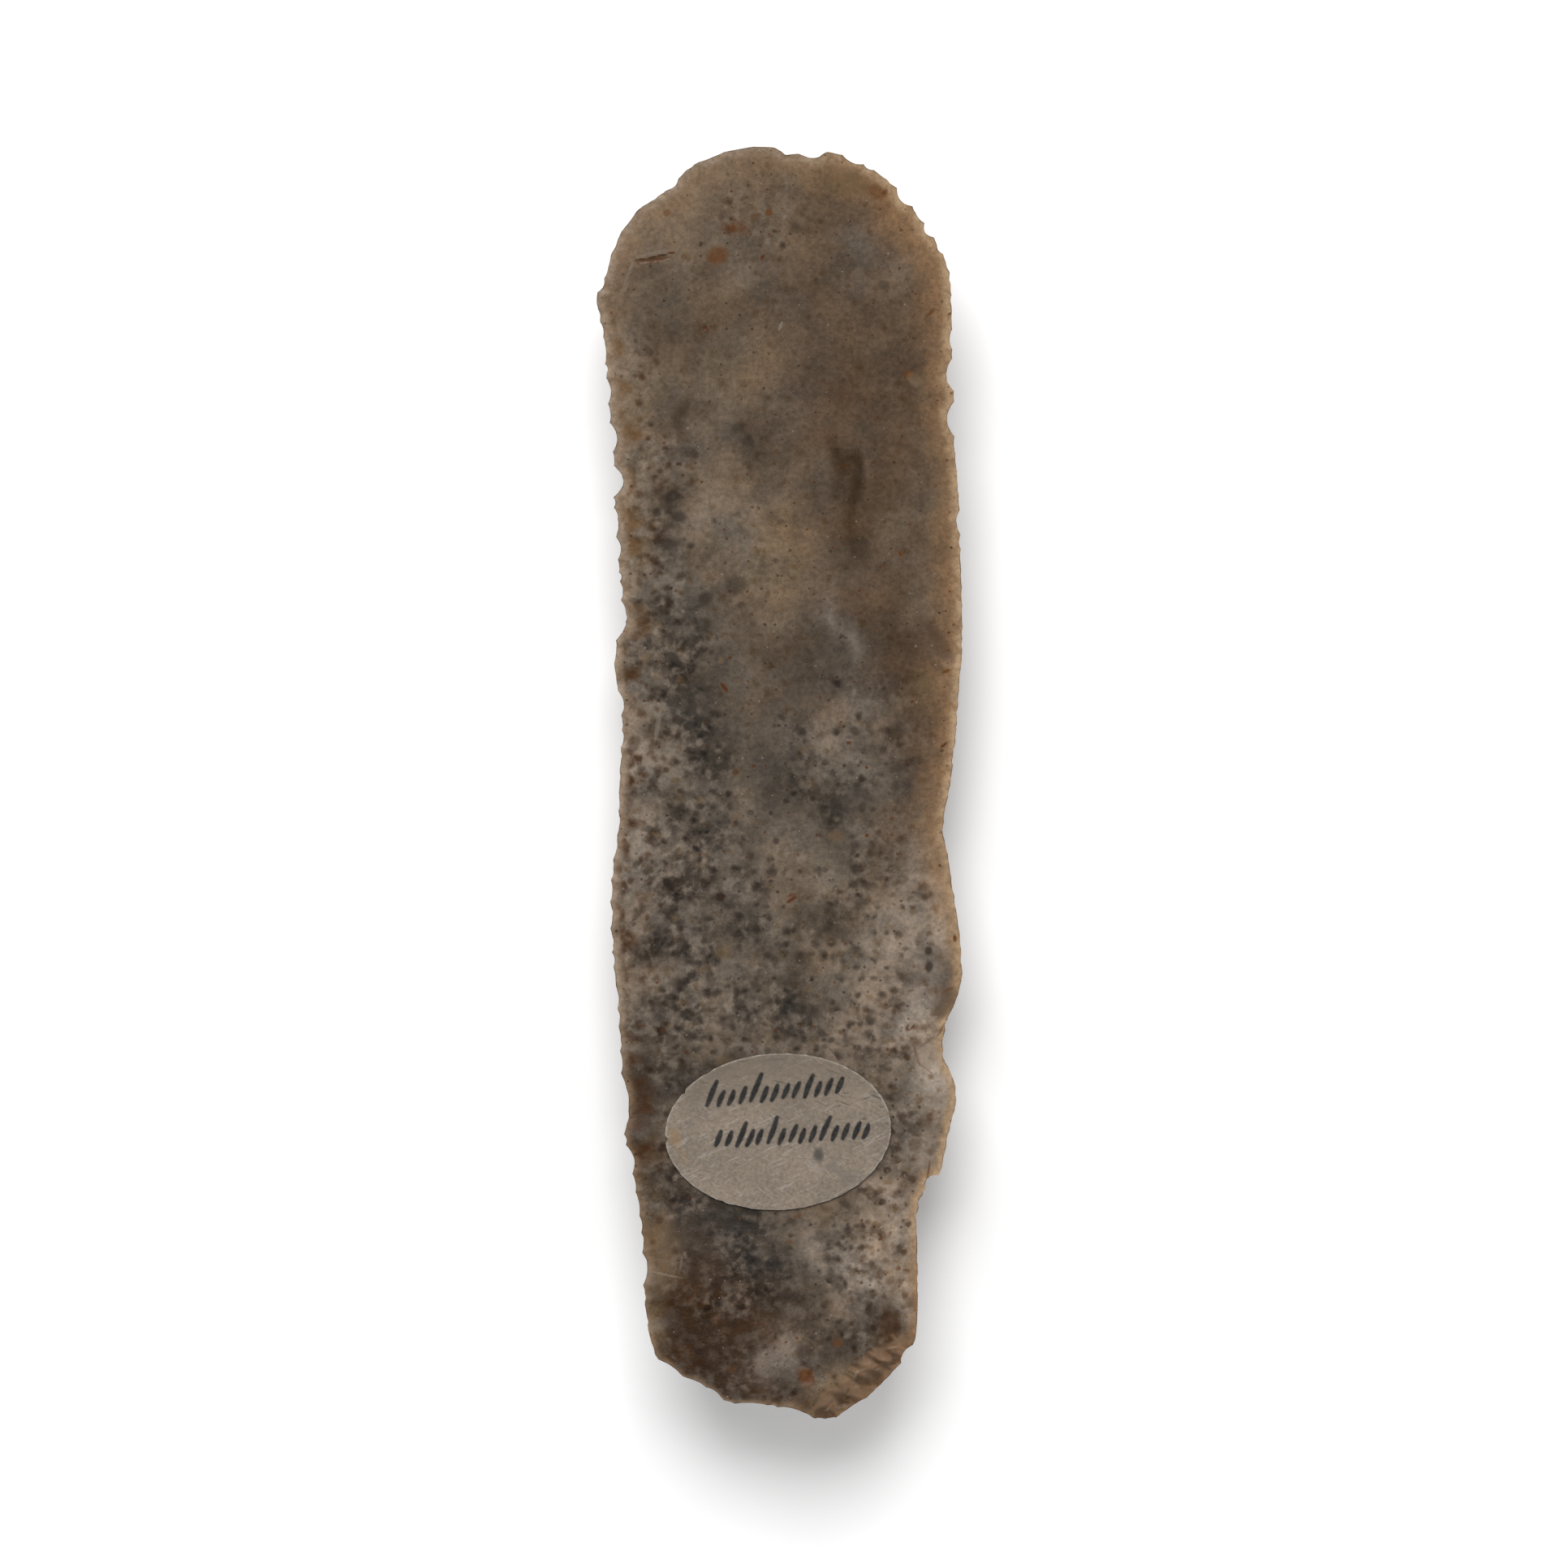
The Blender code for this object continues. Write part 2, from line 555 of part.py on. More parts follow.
def label_layer(lift):
    """Rings of points, the rim first and the centre last, at this height above the face."""
    layer = []
    for share in LABEL_RINGS:
        for index in range(LABEL_SIDES):
            angle = math.tau * index / LABEL_SIDES
            along = share * LABEL_LENGTH / 2 * math.cos(angle)
            across = share * LABEL_WIDTH / 2 * math.sin(angle)
            x = LABEL_CENTRE[0] + along * math.cos(LABEL_TURN) - across * math.sin(LABEL_TURN)
            y = LABEL_CENTRE[1] + along * math.sin(LABEL_TURN) + across * math.cos(LABEL_TURN)
            layer.append((x, y, float(struck_face(x, y)) + lift))
    centre_x, centre_y = LABEL_CENTRE
    layer.append((centre_x, centre_y, float(struck_face(centre_x, centre_y)) + lift))
    return layer


def make_label(material):
    """Thin oval of paper that follows the struck face."""
    lower = label_layer(LABEL_GAP)
    upper = label_layer(LABEL_GAP + LABEL_THICKNESS)
    faces = []
    for base, turn in ((0, -1), (len(lower), 1)):
        for ring in range(len(LABEL_RINGS) - 1):
            outer = base + ring * LABEL_SIDES
            inner = outer + LABEL_SIDES
            for index in range(LABEL_SIDES):
                following = (index + 1) % LABEL_SIDES
                quad = (outer + index, outer + following, inner + following, inner + index)
                faces.append(quad[::turn])
        inner = base + (len(LABEL_RINGS) - 1) * LABEL_SIDES
        centre = base + len(lower) - 1
        for index in range(LABEL_SIDES):
            spoke = (inner + index, inner + (index + 1) % LABEL_SIDES, centre)
            faces.append(spoke[::turn])
    for index in range(LABEL_SIDES):
        following = (index + 1) % LABEL_SIDES
        faces.append((index, following, len(lower) + following, len(lower) + index))
    return mesh_object("paper_label", lower + upper, faces, material)


def plain_material(name, colour, roughness):
    material = bpy.data.materials.new(name)
    material.use_nodes = True
    shader = material.node_tree.nodes["Principled BSDF"]
    shader.inputs["Base Color"].default_value = (*colour, 1.0)
    shader.inputs["Roughness"].default_value = roughness
    shader.inputs["Metallic"].default_value = 0.0
    return material


def main():
    for old in list(bpy.data.objects):
        bpy.data.objects.remove(old, do_unlink=True)
    make_blade(Edge(), plain_material("grey_flint", (0.16, 0.13, 0.10), 0.45))
    make_label(plain_material("old_paper", (0.30, 0.27, 0.22), 0.85))


main()
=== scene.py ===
import math
import random
from collections import namedtuple

import bpy
import numpy as np
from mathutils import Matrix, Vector
from mathutils.geometry import delaunay_2d_cdt
from mathutils.kdtree import KDTree


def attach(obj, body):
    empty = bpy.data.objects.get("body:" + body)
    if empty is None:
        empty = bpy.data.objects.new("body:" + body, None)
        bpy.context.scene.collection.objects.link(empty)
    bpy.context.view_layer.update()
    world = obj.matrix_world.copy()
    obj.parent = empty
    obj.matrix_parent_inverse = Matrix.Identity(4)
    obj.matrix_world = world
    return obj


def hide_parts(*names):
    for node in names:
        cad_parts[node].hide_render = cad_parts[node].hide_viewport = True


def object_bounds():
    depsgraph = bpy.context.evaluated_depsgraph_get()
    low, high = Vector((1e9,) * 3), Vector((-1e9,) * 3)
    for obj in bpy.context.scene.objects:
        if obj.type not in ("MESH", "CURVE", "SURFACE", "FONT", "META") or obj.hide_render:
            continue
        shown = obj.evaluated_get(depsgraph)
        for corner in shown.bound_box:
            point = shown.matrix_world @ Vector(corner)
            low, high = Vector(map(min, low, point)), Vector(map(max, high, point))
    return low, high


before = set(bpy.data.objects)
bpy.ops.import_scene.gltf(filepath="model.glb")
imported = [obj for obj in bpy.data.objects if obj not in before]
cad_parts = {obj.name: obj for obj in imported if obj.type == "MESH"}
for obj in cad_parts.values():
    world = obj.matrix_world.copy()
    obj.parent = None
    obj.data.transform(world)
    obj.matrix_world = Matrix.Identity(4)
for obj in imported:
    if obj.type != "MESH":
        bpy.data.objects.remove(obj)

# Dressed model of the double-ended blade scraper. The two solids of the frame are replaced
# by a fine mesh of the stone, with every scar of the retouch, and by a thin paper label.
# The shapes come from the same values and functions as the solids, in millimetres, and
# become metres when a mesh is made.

MM = 0.001

CAD_LOW, CAD_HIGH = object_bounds()

# ---------------------------------------------------------------- driving dimensions

BLADE_LENGTH = 112.0
BLADE_WIDTH = 32.4

# The struck face. Heights are above the surface that the blade lies on.
STRUCK_FACE_HEIGHT = 7.7        # at the long edges, half way along
STRUCK_FACE_CROWN = 0.9         # how much higher the middle is than the long edges
WIDE_END_RISE = 3.2             # the blade bows, so both ends stand up
WIDE_END_POWER = 2.0            # a higher power keeps the rise nearer to the end
NARROW_END_RISE = 4.1
NARROW_END_POWER = 2.2
BLADE_TWIST = 0.0004            # rise per square millimetre of x times y

# The back: a long flat facet between two ridges.
RESTING_HALF_LENGTH = 14.0      # the flat middle stretch that the blade lies on
BACK_RISE_WIDE = 4.1            # the back facet's height at the wide end
BACK_RISE_NARROW = 5.3
BACK_RISE_POWER = 1.7
BACK_HOLLOW = 0.8               # the back facet is dished by this much at both ends
SIDE_HOLLOW = 0.30              # the share by which the side facets are dished
RAW_EDGE_LEFT = 3.2             # thickness of the raw blade's edge, before retouch
RAW_EDGE_RIGHT = 1.8

# Retouch scars rise from the back to the edge. For each zone: mean width, thickness left at
# the edge, tangent of the edge angle, distance in which the slope fades, reach, ridge height.
LONG_SCARS = {
    "front": (3.6, 0.6, 2.1, 3.8, 12.0, 0.60),
    "left": (4.8, 0.6, 1.20, 60.0, 7.0, 0.55),
    "right": (6.0, 0.3, 0.90, 60.0, 6.5, 0.45),
}
# The short scars that bite into the edge: tangent of the edge angle, reach in widths.
SHORT_SCARS = {"front": (2.9, 1.0), "left": (2.1, 1.3), "right": (1.6, 1.2)}
THINNEST_EDGE = 0.55            # tangent of the smallest edge angle left anywhere
SCAR_END = 0.5                  # how sharply a scar ends past its reach, per millimetre
SCAR_TAIL = 4.0                 # no scar shows further than this past its reach
SCAR_SPREAD = 2.5               # nor further than this many half widths to its sides
SCAR_OVERRUN = 3.0              # a scar at a hollow in the edge also cuts the bulge beside it
SCAR_SLANT = 0.12               # most that a scar turns from square to the edge, in radians

# The steep retouch of the fronts starts at these y.
WIDE_FRONT_START = 45.0
NARROW_FRONT_START = -48.75

LABEL_LENGTH = 20.0
LABEL_WIDTH = 13.8
LABEL_DEGREES = 3.3
LABEL_TURN = math.radians(LABEL_DEGREES)
LABEL_CENTRE = (-0.15, -30.8)

# The studio's light, for turning a colour as seen into the base colour that gives it.
LIGHT = 1.31
SHEEN = 0.0058

# ---------------------------------------------------------------- edge of the blade
#
# The edge is a smooth line through the tips of its nibs, and each small scar bites into it.
# Knots are (x, y), counterclockwise, in four stretches.

LEFT_EDGE = (
    (-15.4, 44.6), (-16.2, 42.6), (-15.6, 40.2), (-15.25, 35.9), (-14.95, 32.3), (-14.6, 28.3),
    (-14.6, 25.2), (-14.2, 19.4), (-13.95, 15.8), (-14.55, 10.8), (-13.9, 5.6), (-14.1, 1.0),
    (-14.25, -3.6), (-14.8, -8.2), (-14.85, -13.6), (-14.3, -19.2), (-13.95, -25.0),
    (-13.66, -31.0), (-12.8, -35.2), (-12.15, -39.2), (-11.9, -44.9), (-11.5, -48.2),
)
NARROW_FRONT = (
    (-10.8, -50.5), (-8.5, -52.2), (-6.3, -53.25), (-4.55, -54.5), (-3.2, -54.6), (-0.6, -54.8),
    (3.2, -56.0), (4.8, -56.0), (8.0, -54.0), (10.55, -51.4), (12.0, -49.1),
)
RIGHT_EDGE = (
    (12.2, -46.5), (12.2, -40.5), (12.15, -38.3), (12.7, -36.3), (13.45, -35.3), (14.2, -34.5),
    (14.85, -31.5), (15.65, -27.8), (15.3, -25.9), (14.6, -24.4), (14.65, -21.9), (15.65, -19.2),
    (16.15, -17.2), (15.9, -13.0), (15.2, -8.4), (14.9, -6.4), (14.5, -4.2), (15.05, -0.6), (15.6, 3.8),
    (15.9, 8.4), (16.2, 12.0), (16.05, 19.6), (15.85, 25.6), (15.45, 30.2), (15.4, 34.4),
    (15.25, 37.9), (15.2, 41.2),
)
WIDE_FRONT = (
    (15.0, 45.2), (14.1, 47.3), (12.7, 49.5), (10.3, 52.5), (8.0, 54.2), (5.2, 55.45),
    (4.2, 55.65), (3.6, 55.25), (2.6, 55.2), (1.5, 55.5), (0.5, 55.5), (-0.3, 56.0),
    (-1.3, 56.1), (-4.3, 55.75), (-8.0, 54.2), (-9.2, 52.9), (-10.5, 51.95), (-12.4, 50.6),
    (-14.3, 47.9),
)

# Scars that bite into the edge: place along the stretch (y on the sides, x on the fronts),
# width along the edge, depth.
LEFT_BITES = (
    (44.3, 2.0, 0.2), (40.1, 1.4, 0.12), (36.6, 1.0, 0.15), (34.7, 2.2, 0.35), (30.6, 2.6, 0.5),
    (26.7, 2.8, 0.85), (23.1, 2.6, 0.3), (20.8, 2.0, 0.35), (18.3, 0.7, 0.2), (17.1, 1.5, 0.2),
    (14.4, 3.6, 0.58), (7.1, 2.2, 0.35), (3.9, 1.5, 0.2), (-28.4, 5.4, 0.6), (-33.3, 2.6, 0.45),
    (-42.9, 2.8, 0.42),
)
NARROW_BITES = (
    (-9.6, 2.5, 0.25), (-7.4, 2.2, 0.12), (-5.6, 2.0, 0.2), (-2.4, 2.8, 0.1), (1.5, 3.4, 0.35),
    (6.4, 3.2, 0.2), (11.3, 1.9, 0.4),
)
RIGHT_BITES = (
    (-37.0, 1.1, 0.15), (-35.3, 1.7, 0.5), (21.3, 1.2, 0.15), (23.1, 2.2, 0.3), (32.2, 3.0, 0.62),
    (36.1, 2.9, 0.6), (39.2, 1.8, 0.22),
)
WIDE_BITES = (
    (14.15, 1.1, 0.2), (13.2, 1.5, 0.4), (11.05, 2.1, 0.5), (9.0, 1.6, 0.05), (6.5, 2.0, 0.3),
    (3.0, 1.6, 0.12), (1.0, 1.4, 0.1), (-6.0, 2.4, 0.1), (-9.4, 1.6, 0.15), (-11.4, 1.8, 0.1),
    (-13.2, 2.2, 0.1),
)

# Between the named bites the edge is finely toothed: mean width and depth of a tooth.
FINE_TEETH = {"left": (1.9, 0.12), "narrow": (2.6, 0.06), "right": (1.7, 0.05), "wide": (2.4, 0.07)}

STRETCHES = (
    ("left", LEFT_EDGE, LEFT_BITES),
    ("narrow", NARROW_FRONT, NARROW_BITES),
    ("right", RIGHT_EDGE, RIGHT_BITES),
    ("wide", WIDE_FRONT, WIDE_BITES),
)

# The raw blade's long edges, before the fronts were made: (y, x) along each side.
RAW_LEFT = ((-56.0, -11.4), (-20.0, -14.2), (20.0, -14.4), (56.0, -16.0))
RAW_RIGHT = ((-56.0, 12.2), (-20.0, 15.4), (20.0, 15.9), (56.0, 15.2))

# The two ridges of the back: (y, x).
LEFT_RIDGE = ((-56.0, -5.2), (-20.0, -7.2), (20.0, -7.9), (56.0, -9.0))
RIGHT_RIDGE = ((-56.0, 4.0), (-20.0, 5.2), (20.0, 6.0), (56.0, 6.8))

# Shallow scars on the struck face: centre x, y, half length, half width, turn, depth.
FACE_SCARS = (
    (-12.0, -41.2, 3.6, 2.6, math.radians(75), 0.30),
    (14.6, -23.6, 2.6, 2.6, math.radians(90), 0.30),
    (14.8, -20.2, 2.2, 1.0, math.radians(60), 0.25),
    (15.4, 12.4, 2.2, 2.4, math.radians(90), 0.22),
    (-13.9, 5.0, 2.6, 2.6, math.radians(90), 0.20),
)

# Crushed bevels at the narrow front's right: a line (x, y) to (x, y), the slope below it.
BEVEL_TAPER = 1.2               # a bevel fades out over this length at each end of its line
BEVEL_REACH = 2.5               # and gets no deeper past this distance from it
CRUSHED_BEVELS = (
    ((1.8, -54.9), (6.6, -52.4), 0.45),
    ((5.2, -53.4), (9.4, -50.9), 0.62),
    ((8.4, -51.6), (12.6, -48.0), 0.40),
)

# Seeds of the random numbers, so that every run gives the same stone and label.
SEEDS = {
    "scars": 1906, "nicks": 23, "flakes": 17, "hollows": 29, "relief": 41, "clouds": 5, "spots": 6,
    "marks": 8, "cut": 12, "curl": 2, "ink": 3, "paper marks": 9,
}

# Mesh of the stone: distance between points along the edge, rows that follow the edge, the
# spacing of the even fields inside them, and of the fine fields under small marks.
LINE_SPACING = 0.2
EDGE_ROWS = (0.16, 0.36, 0.6)
FACE_SPACING = 0.34
BACK_SPACING = 0.31
MARK_SPACING = 0.11
SMALL_MARK = 0.9                # marks with a half width below this get a fine field
FINE_MARK = 0.3                 # and below this they are sharper
MARK_SOFTNESS = (0.35, 0.6)     # of the sharper marks and of the others
SHARP_ANGLE = math.radians(38)
BITE_POINTS = 4                 # to each bite of the solids' outline
RIDGE_INSET = 5.5               # the back's ridges get points of their own this far from the edge
LEAST_GAP = 0.12                # between any two points of the stone

# Relief that the solids leave out.
SWELL = (0.05, 9.0, 22.0)       # height and range of wavelengths of the face's soft swell
RIPPLE = (0.010, 3.4)           # height and spacing of the faint ripples of the blow
RIPPLE_CENTRE = (2.0, -92.0)
RIPPLE_WAVES = (15, 40)         # wavelengths of the bends in them
NICK_WIDTHS = (0.5, 1.3)        # tiny nicks along the edge
NICK_DEPTHS = (0.0, 0.0, 0.02, 0.04, 0.08)
SCAR_RIPPLE = (0.022, 0.85)     # height and spacing of the ripples inside the retouch scars
SCAR_RIPPLE_FADE = 0.8          # they are lower within this distance of the edge
# Flakes on the face's side of the edge, for each zone: depth, reach in widths. Their half width
# is this share of the bite's width.
FLAKES = {"left": (0.14, 1.0), "right": (0.05, 0.8), "front": (0.05, 0.8)}
FLAKE_HALF_WIDTH = 0.62
FLAKE_REACHES = (0.5, 1.3)      # times these, at random
FLAKE_DEPTHS = (0.3, 1.4)

# Dents in the face: x, y, half length, half width, turn in degrees, depth, and the share of
# the half width that the wall takes.
DENTS = (
    (-11.3, -41.3, 3.1, 1.9, 78, 0.16, 0.25), (-11.05, 46.12, 1.8, 0.15, 8, 0.12, 0.7),
    (13.9, 12.0, 2.6, 0.9, -55, 0.10, 0.8), (-13.7, 44.3, 1.5, 0.5, 60, 0.07, 0.5),
    (-14.6, 43.2, 0.9, 0.4, 40, 0.06, 0.6), (11.9, 35.6, 0.7, 0.45, -40, 0.04, 0.9),
    (13.3, -24.2, 1.5, 1.0, 85, 0.07, 0.3), (-13.1, 3.2, 1.2, 0.6, 65, 0.08, 0.4),
    (-10.9, 5.0, 1.6, 0.25, 80, 0.05, 0.9), (11.5, -21.7, 0.4, 0.3, 35, 0.08, 0.6),
    (-6.6, 40.1, 0.2, 0.2, 0, 0.06, 0.6), (9.5, -34.3, 0.22, 0.22, 0, 0.06, 0.6),
    (11.0, -34.7, 0.24, 0.24, 0, 0.06, 0.6), (2.3, -52.3, 0.8, 0.55, -60, 0.05, 0.5),
)

# The crushed stretch of the narrow front: its ends, rows of small hollows (distance from that
# line, depth of the hollows), their smallest and largest radius, their spacing, how far they
# run past its ends, how uneven the rows and their outlines are, and the strength of their tint.
CRUSHED_LINE = ((4.3, -56.1), (11.3, -50.3))
CRUSHED_ROWS = ((0.2, 0.22), (0.7, 0.26), (1.2, 0.20), (1.7, 0.10))
HOLLOW_RADII = (0.3, 0.9)
HOLLOW_SPACING = 0.6
HOLLOW_OVERRUN = 0.6
HOLLOW_SHIFTS = (0.35, 0.25)     # share of the spacing along the line, millimetres across it
HOLLOW_DEPTHS = (0.4, 1.4)      # times the row's depth, at random
HOLLOW_WARP = (0.15, 0.8, 2.5)  # how far their outlines are bent, in which wavelengths
HOLLOW_TINT = 0.6
FRINGE = (-36.0, 42.0)          # the left edge shows painted highlights on its crests and painted warm light in its hollows between these y
FRINGE_X = -9.0                 # and to the left of this x
CREST_HIGHLIGHT_WIDTH = 1.7
CLOUD_WARP = (0.7, 2.5, 9)      # how far soft ellipses are bent, in which wavelengths
MARK_WARP = (0.05, 2.5, 9)
TINT_WAVES = (0.8, 3.0)         # wavelengths of the crushed hollows' changes of colour
FINE_FIELDS = ((7.2, -52.7, 5.8, 2.2, 39),)     # finely meshed: as in the marks below

# ---------------------------------------------------------------- colours
#
# Colours are given as they look in the studio, in sRGB from 0 to 255.

COLOURS = {
    # the stone
    "grey": (101, 86, 71),
    "beige": (113, 97, 80),
    "ochre": (108, 88, 64),
    "brown": (86, 69, 55),
    "tan": (132, 109, 86),
    "glow": (172, 146, 116),
    "light": (152, 134, 116),
    "honey": (148, 115, 84),
    "cool": (96, 88, 79),
    "milk": (132, 119, 106),
    "pale": (152, 136, 120),
    "cloud": (72, 64, 56),
    "blue": (52, 46, 40),
    "umber": (60, 45, 31),
    "amber": (58, 39, 22),
    "rust": (86, 48, 24),
    "orange": (98, 60, 30),
    "dark": (54, 38, 26),
    "hollow": (70, 47, 30),
    "blush": (140, 110, 86),
    "caramel": (104, 79, 54),
    "white": (150, 140, 128),
    # the label
    "paper": (134, 121, 107),
    "ink": (20, 20, 19),
    "smudge": (112, 102, 92),
    "blot": (72, 70, 63),
    "foxing": (140, 112, 76),
    "grime": (112, 100, 86),
    "fibre": (166, 157, 146),
    "scratch": (84, 78, 68),
}

